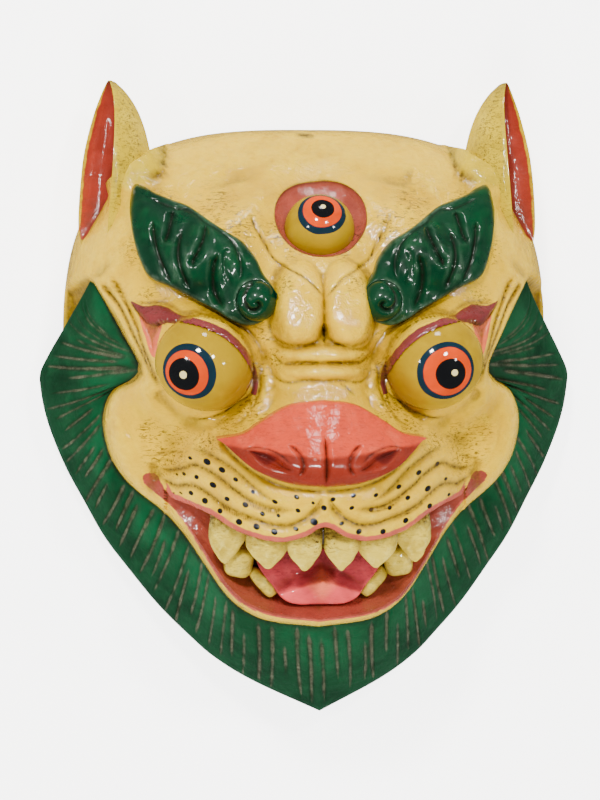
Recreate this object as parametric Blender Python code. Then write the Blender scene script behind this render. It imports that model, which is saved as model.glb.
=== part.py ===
"""Snow lion mask: a carved and enamelled wooden dance mask, lying on its flat back rim, face up.

+Z is the way the face looks, +Y is the top of the mask and +X is to the right of someone
looking at it. All sizes and tables are in millimetres, and new_object turns them to metres.
The origin is on the ground, under the middle of the mask.
"""
import math
from collections import namedtuple

import bmesh
import bpy
import numpy as np
from mathutils import Matrix, Vector

MM = 0.001
FIT_GAP = 0.4           # paint gap between a seated piece and the wood that carries it

# Head: an egg-shaped outline at the back rim, with squarer shoulders above
HEAD_CENTRE_Y = 23.0
HEAD_HALF_WIDTH = 148.0
HEAD_RISE = 141.0        # centre to the top of the back rim
HEAD_DROP = 156.0        # centre to the bottom of the back rim
SHOULDER_POWER = 3.0
HEAD_DEPTH = 100.0       # height of the plain dome under the features
DOME_POWER = 5.0
WALL_STEEPNESS = 400.0   # how fast the side wall climbs from the back rim
FOREHEAD_Y, FOREHEAD_Z = 139.0, 60.0
FOREHEAD_SLOPE = 0.95
FOREHEAD_ROUND = 5.0
POLE_Y = 5.0             # the rings of the head's mesh close in on this point
HEAD_STEPS = 60
FACE_RINGS, WALL_RINGS = 18, 6
OUTER_RINGS = FACE_RINGS + WALL_RINGS
FACE_SHARE = 0.8         # share of the radius that the face rings cover, above the temples
TEMPLE_TURN = 14.0       # degrees over which that share takes over from the mane's edge

# Hollow for the wearer's face
RIM_WIDTH = 17.0
HOLLOW_DEPTH = 86.0
HOLLOW_POWER = 0.75      # 0.5 would be an ellipsoid; more leaves thicker sides
HOLLOW_RINGS = 6

# Where the face stands out of the mane
FACE_EDGE_RISE = 42.0
FACE_EDGE_WIDTH = 16.0
FACE_EDGE_SLOPE = 3.0    # climb of the limit on the face past that edge
FACE_EDGE_ROUND = 2.5
FACE_EDGE_STEPS = 50
MANE_BED_SLOPE = 2.3
MANE_BED_LOWEST = 16.0

# Mouth
MOUTH_FLOOR = 110.0
LIP_DISH = 24.0          # width of the hollow lower lip
LIP_DISH_POWER = 1.6
LIP_EDGE_OVER = 1.0      # the mouth's cutter starts this far over the lip's edge
LIP_STEPS, MOUTH_ROWS = 11, 6
SLOT_HALF_WIDTH, SLOT_Y, SLOT_HALF_HEIGHT = 27.0, -71.0, 6.0
SLOT_DEPTH, SLOT_OVERRUN = 80.0, 20.0
CUT_TOP = 205.0          # cutters end above the nose

# Eyes
EYE_X, EYE_Y, EYE_Z, EYE_RADIUS = 64.5, 25.8, 127.0, 27.0
THIRD_X, THIRD_Y, THIRD_Z, THIRD_RADIUS = 3.0, 102.0, 86.0, 20.5
THIRD_SOCKET = (28.0, 27.0, 11.0)
THIRD_SOCKET_Y, THIRD_SOCKET_Z = 108.0, 91.0
THIRD_TURN = 43.0
BALL_STEPS = 18

# Ruff
GROOVES = 48
GROOVE_DEPTH = 2.6
MANE_EDGE = 9.0          # thickness at the outer edge
MANE_END_EDGE = 0.35     # share of that thickness left at the two ends
MANE_CROWN = 5.0         # how far the front bulges between its two edges
MANE_BACK_Z = 4.0
MANE_BACK_INSET = 9.0    # how far inside the head's back rim its back ends
MANE_TUCK = 7.0          # how far it reaches in under the face, where the seat is cut
MANE_TUCK_DROP = 3.0
MANE_END_DEPTH = 10.0    # thickness left under the tucked edge at the two ends
MANE_TAPER = 10          # sections over which each end thins out
MANE_NARROW = 3.0        # a section narrower than this points straight out
BEARD_SWAY = 7.5         # the beard's point is off centre, as carved

Mass = namedtuple("Mass", "x y half_x half_y turn top drop power blend")
MASSES = {
    "brow_root": Mass(0, 58, 58, 34, 0, 127, 26, 2, 7),
    "brow_shelf": Mass(66, 82, 50, 22, -38, 106, 20, 2, 6),
    "bridge": Mass(0, 8, 40, 46, 0, 143, 26, 2, 6),
    "eye_mound": Mass(65, 24, 38, 38, 0, 134, 25, 2, 5),
    "eye_corner": Mass(95, 50, 22, 16, -35, 103, 10, 2, 4),
    "muzzle": Mass(0, -48, 80, 74, 0, 168, 54, 2, 5),
    "cheek": Mass(95, -14, 30, 40, 12, 103, 20, 3, 5),
    "jaw": Mass(0, -98, 70, 44, 0, 135, 18, 3, 4),
    "frown": Mass(12.6, 51, 13, 19, 0, 141, 14, 2.4, 2),
    "fold_upper": Mass(0, 32, 27, 5, 0, 139, 8, 2, 2),
    "fold_lower": Mass(0, 18, 24, 5, 0, 143, 8, 2, 2),
}

FacePoint = namedtuple("FacePoint", "x y z")
MANE_INNER = [                       # right side, from the temple down to the chin
    FacePoint(128, 72, 54), FacePoint(118, 55.5, 64), FacePoint(110, 41, 72), FacePoint(101, 24, 82),
    FacePoint(105, 16, 80), FacePoint(117, 8, 68), FacePoint(122.5, -8, 62), FacePoint(119.5, -27, 62),
    FacePoint(112.5, -40, 64), FacePoint(102.5, -50, 68), FacePoint(89, -60, 74), FacePoint(76.5, -73, 82),
    FacePoint(64.5, -90, 90), FacePoint(52.5, -107, 94), FacePoint(40, -117, 97), FacePoint(26, -122, 99),
    FacePoint(0, -125, 100)]
MANE_OUTER = [
    FacePoint(129, 73, 55), FacePoint(138, 57, 44), FacePoint(147, 41.5, 36), FacePoint(154, 29.5, 30),
    FacePoint(160, 17, 26), FacePoint(160, 7, 25), FacePoint(157.5, -7, 26), FacePoint(153, -21.5, 27),
    FacePoint(145, -41, 28), FacePoint(135, -60, 30), FacePoint(123, -82, 32), FacePoint(108.5, -102, 34),
    FacePoint(92.5, -123, 35), FacePoint(76, -141, 35), FacePoint(60.5, -156, 35), FacePoint(38, -171, 35),
    FacePoint(0, -190, 35)]
TEMPLE_LIMIT = [FacePoint(133, 84, 90), FacePoint(140, 110, 220), FacePoint(140, 260, 400)]
UPPER_LIP = [
    FacePoint(0, -60, 166), FacePoint(12, -66, 166), FacePoint(26, -69, 164), FacePoint(45.5, -65, 152),
    FacePoint(61.5, -56.5, 135), FacePoint(79, -52, 113), FacePoint(96, -41, 98)]
LOWER_LIP = [
    FacePoint(0, -118, 134), FacePoint(31, -113.5, 133), FacePoint(50.5, -102.5, 128),
    FacePoint(66, -79, 118), FacePoint(81, -56, 106), FacePoint(97, -42.5, 98)]
BROW_UPPER = [
    FacePoint(104, 127, 0), FacePoint(87, 119, 0), FacePoint(68, 105, 0), FacePoint(53, 94, 0),
    FacePoint(41, 82, 0), FacePoint(35, 67, 0)]
BROW_LOWER = [
    FacePoint(107, 115, 0), FacePoint(105, 101, 0), FacePoint(99, 83, 0), FacePoint(85, 71, 0),
    FacePoint(66, 63, 0), FacePoint(46, 55, 0)]
BROW_THICKNESS, BROW_EDGE, BROW_ROOT = 11.0, 4.0, 9.0
BROW_CROWN_POWER = 0.7
BROW_STEPS, BROW_ROWS = 10, 6
CURL_X, CURL_Y, CURL_RADIUS = 42.0, 62.0, 11.0
CURL_RISE = 3.0          # height of the curl's centre over the forehead
NOSE_UPPER = [
    FacePoint(0, 8, 0), FacePoint(18, 5.5, 0), FacePoint(34, -3.5, 0), FacePoint(44, -10, 0),
    FacePoint(54.4, -12.5, 0)]
NOSE_LOWER = [
    FacePoint(0, -37.5, 0), FacePoint(20, -35.5, 0), FacePoint(37, -29, 0), FacePoint(48, -21, 0),
    FacePoint(54.4, -14, 0)]
NOSE_TIP_Y, NOSE_TIP_Z = -27.0, 182.0
NOSE_TOP_SLOPE, NOSE_UNDER_SLOPE, NOSE_SWEEP = 0.86, 0.9, 0.0078
NOSE_ROUND = 4.0
NOSE_ROOT = 12.0         # how far the nose reaches down into the muzzle, where its seat is cut
NOSE_STEPS, NOSE_ROWS = 7, 5
NOSTRIL_PLACE = (28.0, -23.0, 172.0)
NOSTRIL_HALF_SIZES = (11.0, 5.0, 9.0)
NOSTRIL_TURN = 14.0

Tooth = namedtuple("Tooth", "x root_y root_z length width depth lean")
UPPER_TEETH = {
    "inner": Tooth(10.2, -59, 151, 27, 19.5, 14, 0),
    "middle": Tooth(31.5, -61, 145, 23, 22, 14, 0),
    "fang": Tooth(53, -54, 131, 30, 21, 15, 3),
}
Peg = namedtuple("Peg", "x y z half_width half_length half_height turn")
LOWER_TEETH = {
    "molar": Peg(44, -86, 115, 8.5, 9.5, 14, 10),
    "side": Peg(31.0, -101, 115, 4.0, 8.5, 12, -42),
}
TOOTH_PROFILE = [(0, 0.92), (0.3, 1.0), (0.55, 0.86), (0.78, 0.55), (0.93, 0.28), (1.0, 0.1)]
TOOTH_SIDES = 8

TONGUE_Y, TONGUE_HALF_WIDTH, TONGUE_HALF_LENGTH, TONGUE_HALF_HEIGHT = -93.0, 31.0, 17.5, 12.0
TONGUE_LIFT, TONGUE_CREASE, TONGUE_TAPER = 10.0, 3.0, 0.35
TONGUE_CREASE_WIDTH = 6.0
TONGUE_REST = 4.0        # height of its centre over the floor of the mouth

EarSection = namedtuple("EarSection", "y x z width depth hollow")
EAR_SECTIONS = [
    EarSection(84, 124, 54, 26, 40, 0.0),
    EarSection(95, 126, 54, 31, 42, 0.05),
    EarSection(106, 126.5, 55, 34, 42, 0.26),
    EarSection(127, 125, 56, 35, 39, 0.38),
    EarSection(148, 123, 54, 33, 33, 0.45),
    EarSection(169, 120, 50, 24, 23, 0.5),
    EarSection(182, 118, 47, 13, 12, 0.5),
    EarSection(190, 117, 45, 3, 3, 0.3)]
EAR_FACING = 33.0        # degrees that the bowl turns from straight out towards the front
EAR_RIM = 0.84           # width of the bowl as a share of the ear's width
EAR_BOWL_LIFT = 1.5      # the bowl's edge stands this far past the shell's
EAR_POINTS = 9

Finish = namedtuple("Finish", "colour roughness")
CREAM = Finish("D9C070", 0.25)
GREEN = Finish("0E5B37", 0.25)
YELLOW = Finish("EDBE10", 0.15)
PINK = Finish("C8655A", 0.3)
IVORY = Finish("D8CE8E", 0.25)
TONGUE_PINK = Finish("C95F63", 0.3)


# Form of the head, as functions of a place on the mask

def blend_up(a, b, width):
    """The higher of two heights, rounded where they cross."""
    return np.maximum(a, b) + width * np.log1p(np.exp(-np.abs(a - b) / width))


def blend_down(a, b, width):
    """The lower of two heights, rounded where they cross."""
    return -blend_up(-a, -b, width)


def outline_ratio(x, y):
    """0 in the middle of the head and 1 on its back rim."""
    rise = y - HEAD_CENTRE_Y
    wide = np.abs(x) / HEAD_HALF_WIDTH
    upper = (wide ** SHOULDER_POWER + (np.abs(rise) / HEAD_RISE) ** SHOULDER_POWER) ** (1 / SHOULDER_POWER)
    lower = np.hypot(wide, rise / HEAD_DROP)
    return np.where(rise > 0, upper, lower)


def outline_reach(angle):
    """Distance from the mesh's pole to the back rim in one direction."""
    low, high = np.zeros_like(angle), np.full_like(angle, 220.0)
    for _ in range(40):
        middle = (low + high) / 2
        inside = outline_ratio(middle * np.cos(angle), POLE_Y + middle * np.sin(angle)) < 1
        low, high = np.where(inside, middle, low), np.where(inside, high, middle)
    return (low + high) / 2


def smooth_path(points, count):
    """Evenly spaced places along a Catmull-Rom curve through the points."""
    p = np.array([tuple(point)[:3] for point in points], float)
    p = np.vstack([2 * p[0] - p[1], p, 2 * p[-1] - p[-2]])
    fine = []
    for a, b, c, d in zip(p, p[1:], p[2:], p[3:]):
        for t in np.linspace(0, 1, 16, endpoint=False):
            fine.append(0.5 * (2 * b + (c - a) * t + (2 * a - 5 * b + 4 * c - d) * t ** 2
                               + (3 * b - a - 3 * c + d) * t ** 3))
    fine = np.array(fine + [p[-2]])
    run = np.concatenate([[0], np.cumsum(np.linalg.norm(np.diff(fine, axis=0), axis=1))])
    places = np.linspace(0, run[-1], count)
    return np.column_stack([np.interp(places, run, fine[:, axis]) for axis in range(3)])


def mirrored(points):
    """The whole curve from its right half: left end, middle, right end."""
    right = np.array([tuple(point) for point in points], float)
    left = right[1:] * (-1, 1, 1)
    return np.vstack([left[::-1], right])


def edge_distance(x, y, path):
    """Distance to a path across the mask, plus above it and minus below, and the path's height there."""
    best = np.full(x.shape, 1e9)
    side, height = np.zeros(x.shape), np.zeros(x.shape)
    for (ax, ay, az), (bx, by, bz) in zip(path, path[1:]):
        run_x, run_y = bx - ax, by - ay
        share = np.clip(((x - ax) * run_x + (y - ay) * run_y) / (run_x ** 2 + run_y ** 2), 0, 1)
        gap = np.hypot(x - ax - share * run_x, y - ay - share * run_y)
        nearer = gap < best
        best = np.where(nearer, gap, best)
        side = np.where(nearer, run_x * (y - ay) - run_y * (x - ax), side)
        height = np.where(nearer, az + share * (bz - az), height)
    return best * np.sign(side), height


def mass_height(mass, x, y):
    """Height of one rounded mass, with a mirrored twin where it is off centre."""
    turn = math.radians(mass.turn)
    dx, dy = np.abs(x) - mass.x if mass.x else x, y - mass.y
    along = (dx * math.cos(turn) + dy * math.sin(turn)) / mass.half_x
    across = (dy * math.cos(turn) - dx * math.sin(turn)) / mass.half_y
    return mass.top - mass.drop * (along ** 2 + across ** 2) ** (mass.power / 2)


FACE_EDGE_RIGHT = smooth_path(MANE_INNER[::-1], FACE_EDGE_STEPS)
FACE_EDGE = mirrored(np.vstack([FACE_EDGE_RIGHT, np.array([tuple(point) for point in TEMPLE_LIMIT], float)]))


def head_height(x, y):
    """Height of the head's carved front at a place on the mask."""
    ratio = np.clip(outline_ratio(x, y), 0, 1)
    dome = HEAD_DEPTH * (1 - ratio ** DOME_POWER) ** 0.5
    height = blend_down(dome, FOREHEAD_Z + FOREHEAD_SLOPE * (FOREHEAD_Y - y), FOREHEAD_ROUND)
    for mass in MASSES.values():
        height = blend_up(height, mass_height(mass, x, y), mass.blend)
    inside, edge_z = edge_distance(x, y, FACE_EDGE)
    rounding = 1 - np.clip(inside, 0, FACE_EDGE_WIDTH) / FACE_EDGE_WIDTH
    ceiling = edge_z + FACE_EDGE_RISE * np.sqrt(1 - rounding ** 2)
    ceiling = ceiling + np.maximum(inside - FACE_EDGE_WIDTH, 0) * FACE_EDGE_SLOPE
    ceiling = np.maximum(ceiling + np.minimum(inside, 0) * MANE_BED_SLOPE, MANE_BED_LOWEST)
    height = blend_down(height, ceiling, FACE_EDGE_ROUND)
    return np.minimum(height, dome_wall(ratio))


def dome_wall(ratio):
    """The steep side wall that ends every form at the back rim."""
    return WALL_STEEPNESS * np.sqrt(np.clip(1 - ratio ** 2, 0, 1))


def nose_height(x, y):
    """Two sloping planes that meet in a rounded front edge and sweep back to the sides."""
    rise = y - NOSE_TIP_Y
    top = NOSE_TIP_Z - NOSE_TOP_SLOPE * rise
    under = NOSE_TIP_Z + NOSE_UNDER_SLOPE * rise
    return blend_down(top, under, NOSE_ROUND) - NOSE_SWEEP * x ** 2


def mouth_floor(x, y):
    """The hollow lower lip, which falls from its edge to the floor of the mouth."""
    inside, edge_z = edge_distance(x, y, mirrored(LOWER_LIP))
    share = 1 - np.clip(inside, 0, LIP_DISH) / LIP_DISH
    return MOUTH_FLOOR + (edge_z + LIP_EDGE_OVER - MOUTH_FLOOR) * share ** LIP_DISH_POWER


# Making objects

def linear(channel):
    """One sRGB channel as the linear value that a shader takes."""
    return channel / 12.92 if channel <= 0.04045 else ((channel + 0.055) / 1.055) ** 2.4


def material(name, finish):
    """Glossy enamel in one colour."""
    made = bpy.data.materials.new(name)
    made.use_nodes = True
    shader = made.node_tree.nodes["Principled BSDF"]
    channels = [linear(int(finish.colour[i:i + 2], 16) / 255) for i in (0, 2, 4)]
    shader.inputs["Base Color"].default_value = (*channels, 1)
    shader.inputs["Roughness"].default_value = finish.roughness
    shader.inputs["Metallic"].default_value = 0.0
    made.diffuse_color = (*channels, 1)
    return made


def new_object(name, form, finish=None, cutter=False):
    """An object from a bmesh in millimetres, in the mask's collection or with the cutters."""
    bmesh.ops.scale(form, vec=(MM, MM, MM), verts=form.verts)
    mesh = bpy.data.meshes.new(name)
    form.to_mesh(mesh)
    form.free()
    made = bpy.data.objects.new(name, mesh)
    collection = CUTTERS if cutter else MASK
    collection.objects.link(made)
    made.hide_render = cutter
    made.display_type = "WIRE" if cutter else "TEXTURED"
    if finish:
        mesh.materials.append(material(name + "_enamel", finish))
        mesh.shade_smooth()
        mesh.set_sharp_from_angle(angle=math.radians(50))
    return made


def cut(target, cutter, operation="DIFFERENCE"):
    """A Boolean on the target, which stays as a modifier."""
    change = target.modifiers.new(operation.lower() + "_" + cutter.name, "BOOLEAN")
    change.object = cutter
    change.operation = operation
    change.solver = "EXACT"


def grow_form(form, distance):
    """Triangulate a form and move its skin out along the normals, or in where the distance is negative."""
    bmesh.ops.triangulate(form, faces=form.faces)
    form.normal_update()
    moves = [vert.normal * distance for vert in form.verts]
    for vert, move in zip(form.verts, moves):
        vert.co += move
    return form


def join_rings(form, rings):
    """Skin a row of rings with the same number of points each, and close both ends."""
    loops = [[form.verts.new(point) for point in ring] for ring in rings]
    count = len(loops[0])
    for near, far in zip(loops, loops[1:]):
        for i in range(count):
            form.faces.new((near[i], near[(i + 1) % count], far[(i + 1) % count], far[i]))
    form.faces.new(reversed(loops[0]))
    form.faces.new(loops[-1])
    bmesh.ops.recalc_face_normals(form, faces=form.faces)


def patch(edge_a, edge_b, rows, bottom, top):
    """A closed pad between two edges of the mask, with its own underside and top."""
    form = bmesh.new()
    rings = []
    for start, end in zip(edge_a, edge_b):
        shares = np.linspace(0, 1, rows)
        x = start[0] + (end[0] - start[0]) * shares
        y = start[1] + (end[1] - start[1]) * shares
        over = np.column_stack([x, y, top(x, y, shares)])
        under = np.column_stack([x, y, bottom(x, y, shares)])
        rings.append(np.vstack([over, under[::-1]]))
    join_rings(form, rings)
    return form


# The head

def edge_reach(angle):
    """Distance from the pole to the ring that parts the face from the side wall."""
    right = np.arctan2(np.sin(angle), np.abs(np.cos(angle)))
    edge_x, edge_y = FACE_EDGE_RIGHT[:, 0], FACE_EDGE_RIGHT[:, 1] - POLE_Y
    bearing = np.arctan2(edge_y, edge_x)
    beside_mane = np.interp(right, bearing, np.hypot(edge_x, edge_y))
    above = FACE_SHARE * outline_reach(angle)
    share = np.clip((right - bearing[-1]) / math.radians(TEMPLE_TURN), 0, 1)
    return beside_mane + (above - beside_mane) * share


def ring_radius(number, angle):
    """Radius of each numbered ring: even on the face, closer on the side wall, then round the hollow."""
    edge, reach = edge_reach(angle), outline_reach(angle)
    face = edge * number / FACE_RINGS
    wall_share = np.clip((number - FACE_RINGS) / WALL_RINGS, 0, 1)
    wall = edge + (reach - edge) * (1 - (1 - wall_share) ** 2)
    inner_share = np.cos(math.pi / 2 * np.clip(number - OUTER_RINGS - 1, 0, HOLLOW_RINGS) / HOLLOW_RINGS)
    inner = (reach - RIM_WIDTH) * inner_share
    return np.where(number <= FACE_RINGS, face, np.where(number <= OUTER_RINGS, wall, inner)), inner_share


def head_blank(grow):
    """Turn a blank whose height numbers its rings, then move each ring to its place on the mask."""
    rings = 1 + OUTER_RINGS + HOLLOW_RINGS
    form = bmesh.new()
    profile = [form.verts.new((0 if i in (0, rings) else 1, 0, -i)) for i in range(rings + 1)]
    edges = [form.edges.new(pair) for pair in zip(profile, profile[1:])]
    bmesh.ops.spin(form, geom=profile + edges, cent=(0, 0, 0), axis=(0, 0, 1), dvec=(0, 0, 0),
                   angle=2 * math.pi, steps=HEAD_STEPS, use_merge=True, use_duplicate=False)
    bmesh.ops.remove_doubles(form, verts=form.verts, dist=0.001)
    places = np.array([vert.co for vert in form.verts])
    number = np.rint(-places[:, 2])
    angle = np.arctan2(places[:, 1], places[:, 0])
    radius, inner_share = ring_radius(number, angle)
    x, y = radius * np.cos(angle), POLE_Y + radius * np.sin(angle)
    depth = 0.0 if grow else HOLLOW_DEPTH
    z = np.where(number > OUTER_RINGS, depth * (1 - inner_share ** 2) ** HOLLOW_POWER, head_height(x, y))
    z[number == OUTER_RINGS] = 0.0
    for vert, place in zip(form.verts, np.column_stack([x, y, z])):
        vert.co = place
    bmesh.ops.recalc_face_normals(form, faces=form.faces)
    return grow_form(form, grow)


def ball(x, y, z, radius):
    """A round ball of the enamelled wood."""
    form = bmesh.new()
    bmesh.ops.create_uvsphere(form, u_segments=BALL_STEPS, v_segments=BALL_STEPS // 2, radius=radius)
    bmesh.ops.translate(form, vec=(x, y, z), verts=form.verts)
    return form


def third_socket():
    """The almond hollow round the third eye, turned to the slope of the forehead."""
    form = bmesh.new()
    bmesh.ops.create_uvsphere(form, u_segments=24, v_segments=12, radius=1)
    bmesh.ops.scale(form, vec=THIRD_SOCKET, verts=form.verts)
    turn = Matrix.Rotation(math.radians(-THIRD_TURN), 3, "X")
    bmesh.ops.rotate(form, cent=(0, 0, 0), matrix=turn, verts=form.verts)
    bmesh.ops.translate(form, vec=(THIRD_X, THIRD_SOCKET_Y, THIRD_SOCKET_Z), verts=form.verts)
    return form


def mouth_cutter():
    """The open mouth, between the upper lip and the lower lip's edge."""
    upper = mirrored(smooth_path(UPPER_LIP, LIP_STEPS))
    lower = mirrored(smooth_path(LOWER_LIP, LIP_STEPS))
    return patch(upper, lower, MOUTH_ROWS, lambda x, y, share: mouth_floor(x, y),
                 lambda x, y, share: np.full_like(x, CUT_TOP))


def slot_cutter():
    """The wearer's breathing slot at the back of the mouth."""
    form = bmesh.new()
    bmesh.ops.create_cube(form, size=2)
    bmesh.ops.scale(form, vec=(SLOT_HALF_WIDTH, SLOT_HALF_HEIGHT, SLOT_DEPTH / 2), verts=form.verts)
    bmesh.ops.translate(form, vec=(0, SLOT_Y, MOUTH_FLOOR + SLOT_OVERRUN - SLOT_DEPTH / 2), verts=form.verts)
    return form


def make_head(name, grow, as_cutter):
    """The head with its mouth and sockets; grown by the fit gap and left solid, it cuts the seats."""
    head = new_object(name, head_blank(grow), None if as_cutter else CREAM, as_cutter)
    gap = 0.0 if as_cutter else FIT_GAP
    pieces = {"mouth": mouth_cutter(), "slot": slot_cutter(), "third_socket": third_socket()}
    for label, form in pieces.items():
        cut(head, new_object(name + "_" + label, grow_form(form, -grow), cutter=True))
    for side in (-1, 1):
        socket = ball(side * EYE_X, EYE_Y, EYE_Z, EYE_RADIUS + gap)
        cut(head, new_object(f"{name}_socket_{side}", socket, cutter=True))
    third = ball(THIRD_X, THIRD_Y, THIRD_Z, THIRD_RADIUS + gap)
    cut(head, new_object(name + "_third", third, cutter=True))
    return head


# The mane

def mane_section(start, end, fade, groove):
    """One section across the ruff: its tucked edge, its front, its rim and its back."""
    out = Vector((end[0] - start[0], end[1] - start[1], 0))
    out = out.normalized() if out.length > MANE_NARROW else Vector((start[0], 0, 0)).normalized()
    angle = math.atan2(start[1] - POLE_Y, start[0])
    reach = float(outline_reach(np.array([angle]))[0]) - MANE_BACK_INSET
    back = Vector((reach * math.cos(angle), POLE_Y + reach * math.sin(angle), MANE_BACK_Z))
    front, rim = Vector(start), Vector(end)
    middle = front.lerp(rim, 0.5) + Vector((0, 0, MANE_CROWN * fade - groove))
    tucked = front - out * MANE_TUCK - Vector((0, 0, MANE_TUCK_DROP))
    end_back = tucked - Vector((0, 0, MANE_END_DEPTH))
    lip = Vector((0, 0, MANE_EDGE * (MANE_END_EDGE + (1 - MANE_END_EDGE) * fade)))
    notched_rim = rim - Vector((0, 0, groove / 2))
    return [tucked, front, middle, notched_rim, rim - lip, end_back.lerp(back, fade)]


def make_mane(seat):
    """A flared ruff round the jaw, with V grooves that fan out to its edge."""
    inner = mirrored(smooth_path(MANE_INNER[::-1], GROOVES + 1))
    outer = mirrored(smooth_path(MANE_OUTER[::-1], GROOVES + 1))
    chin = outer[:, 1].min()
    outer[:, 0] += BEARD_SWAY * np.clip(outer[:, 1] / chin, 0, 1) ** 3
    rings = []
    for i, (start, end) in enumerate(zip(inner, outer)):
        fade = min(1.0, min(i, len(inner) - 1 - i) / MANE_TAPER)
        rings.append(mane_section(start, end, fade, GROOVE_DEPTH * fade * (i % 2)))
    form = bmesh.new()
    join_rings(form, rings)
    mane = new_object("mane_ruff", form, GREEN)
    cut(mane, seat)
    return mane


# Pieces on the head

def make_ear(name, side, seat):
    """A pointed leaf with a bowl that faces outwards, let in where the brow passes over its foot."""
    facing = math.radians(EAR_FACING)
    out = Vector((math.cos(facing), 0, math.sin(facing)))
    across = Vector((-math.sin(facing), 0, math.cos(facing)))
    sweep = [math.pi * (i / (EAR_POINTS - 1) - 0.5) for i in range(EAR_POINTS)]
    rings = []
    for section in EAR_SECTIONS:
        centre = Vector((section.x, section.y, section.z))
        half = section.width / 2
        shell = [centre + across * (half * math.sin(t)) - out * (section.depth * math.cos(t)) for t in sweep]
        bowl = [centre + across * (half * EAR_RIM * math.sin(t))
                - out * (section.depth * section.hollow * math.cos(t) - EAR_BOWL_LIFT)
                for t in reversed(sweep)]
        rings.append([Vector((side * p.x, p.y, p.z)) for p in shell + bowl])
    form = bmesh.new()
    join_rings(form, rings)
    ear = new_object(name, form, CREAM)
    cut(ear, seat)
    over = new_object(name + "_under_brow", grow_form(brow_form(side), FIT_GAP), cutter=True)
    cut(ear, over)
    return ear


def brow_form(side):
    """The flame of the brow, thickest along its middle."""
    upper = smooth_path(BROW_UPPER, BROW_STEPS) * (side, 1, 1)
    lower = smooth_path(BROW_LOWER, BROW_STEPS) * (side, 1, 1)

    def top(x, y, share):
        crown = np.sin(math.pi * share) ** BROW_CROWN_POWER
        return head_height(x, y) + BROW_EDGE + (BROW_THICKNESS - BROW_EDGE) * crown

    return patch(upper, lower, BROW_ROWS, lambda x, y, share: head_height(x, y) - BROW_ROOT, top)


def make_brow(name, side, seat):
    """A flame of hair that ends in a round curl over the nose."""
    brow = new_object(name, brow_form(side), GREEN)
    curl = bmesh.new()
    bmesh.ops.create_uvsphere(curl, u_segments=16, v_segments=8, radius=CURL_RADIUS)
    floor = float(head_height(np.array([CURL_X]), np.array([CURL_Y]))[0])
    bmesh.ops.translate(curl, vec=(side * CURL_X, CURL_Y, floor + CURL_RISE), verts=curl.verts)
    cut(brow, new_object(name + "_curl", curl, cutter=True), "UNION")
    cut(brow, seat)
    return brow


def make_nose(seat):
    """A broad nose leather with two nostrils and a groove between them."""
    upper = mirrored(smooth_path(NOSE_UPPER, NOSE_STEPS))
    lower = mirrored(smooth_path(NOSE_LOWER, NOSE_STEPS))
    form = patch(upper, lower, NOSE_ROWS,
                 lambda x, y, share: head_height(x, y) - NOSE_ROOT,
                 lambda x, y, share: nose_height(x, y))
    nose = new_object("nose", form, PINK)
    for side in (-1, 1):
        nostril = bmesh.new()
        bmesh.ops.create_uvsphere(nostril, u_segments=12, v_segments=6, radius=1)
        bmesh.ops.scale(nostril, vec=NOSTRIL_HALF_SIZES, verts=nostril.verts)
        turn = Matrix.Rotation(math.radians(-NOSTRIL_TURN), 3, "Z")
        bmesh.ops.rotate(nostril, cent=(0, 0, 0), matrix=turn, verts=nostril.verts)
        bmesh.ops.translate(nostril, vec=NOSTRIL_PLACE, verts=nostril.verts)
        bmesh.ops.scale(nostril, vec=(side, 1, 1), verts=nostril.verts)
        bmesh.ops.recalc_face_normals(nostril, faces=nostril.faces)
        cut(nose, new_object(f"nostril_{side}", nostril, cutter=True))
    cut(nose, seat)
    return nose


def make_tooth(name, tooth, side, seat):
    """An upper tooth: it hangs from under the lip and narrows to a blunt point."""
    form = bmesh.new()
    rings = []
    for share, size in TOOTH_PROFILE:
        y = tooth.root_y - tooth.length * share
        x = side * (tooth.x - tooth.lean * share)
        turns = [2 * math.pi * i / TOOTH_SIDES for i in range(TOOTH_SIDES)]
        rings.append([(x + tooth.width / 2 * size * math.cos(turn), y,
                       tooth.root_z + tooth.depth / 2 * size * math.sin(turn)) for turn in turns])
    join_rings(form, rings)
    made = new_object(name, form, IVORY)
    cut(made, seat)
    return made


def make_peg(name, peg, side, seat):
    """A lower tooth: a rounded peg that stands up from the floor of the mouth."""
    form = bmesh.new()
    bmesh.ops.create_uvsphere(form, u_segments=10, v_segments=6, radius=1)
    bmesh.ops.scale(form, vec=(peg.half_width, peg.half_length, peg.half_height), verts=form.verts)
    turn = Matrix.Rotation(math.radians(side * peg.turn), 3, "Z")
    bmesh.ops.rotate(form, cent=(0, 0, 0), matrix=turn, verts=form.verts)
    bmesh.ops.translate(form, vec=(side * peg.x, peg.y, peg.z), verts=form.verts)
    made = new_object(name, form, IVORY)
    cut(made, seat)
    return made


def make_tongue(seat):
    """A broad tongue that curls up at its tip."""
    form = bmesh.new()
    bmesh.ops.create_uvsphere(form, u_segments=20, v_segments=10, radius=1)
    bmesh.ops.scale(form, vec=(TONGUE_HALF_WIDTH, TONGUE_HALF_LENGTH, TONGUE_HALF_HEIGHT), verts=form.verts)
    for vert in form.verts:
        forward = vert.co.y / TONGUE_HALF_LENGTH
        vert.co.x *= 1 + TONGUE_TAPER * min(forward, 0)
        crease = TONGUE_CREASE * math.exp(-(vert.co.x / TONGUE_CREASE_WIDTH) ** 2)
        vert.co.z += TONGUE_LIFT * (1 - forward) / 2 - crease
    bmesh.ops.translate(form, vec=(0, TONGUE_Y, MOUTH_FLOOR + TONGUE_REST), verts=form.verts)
    tongue = new_object("tongue", form, TONGUE_PINK)
    cut(tongue, seat)
    return tongue


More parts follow.
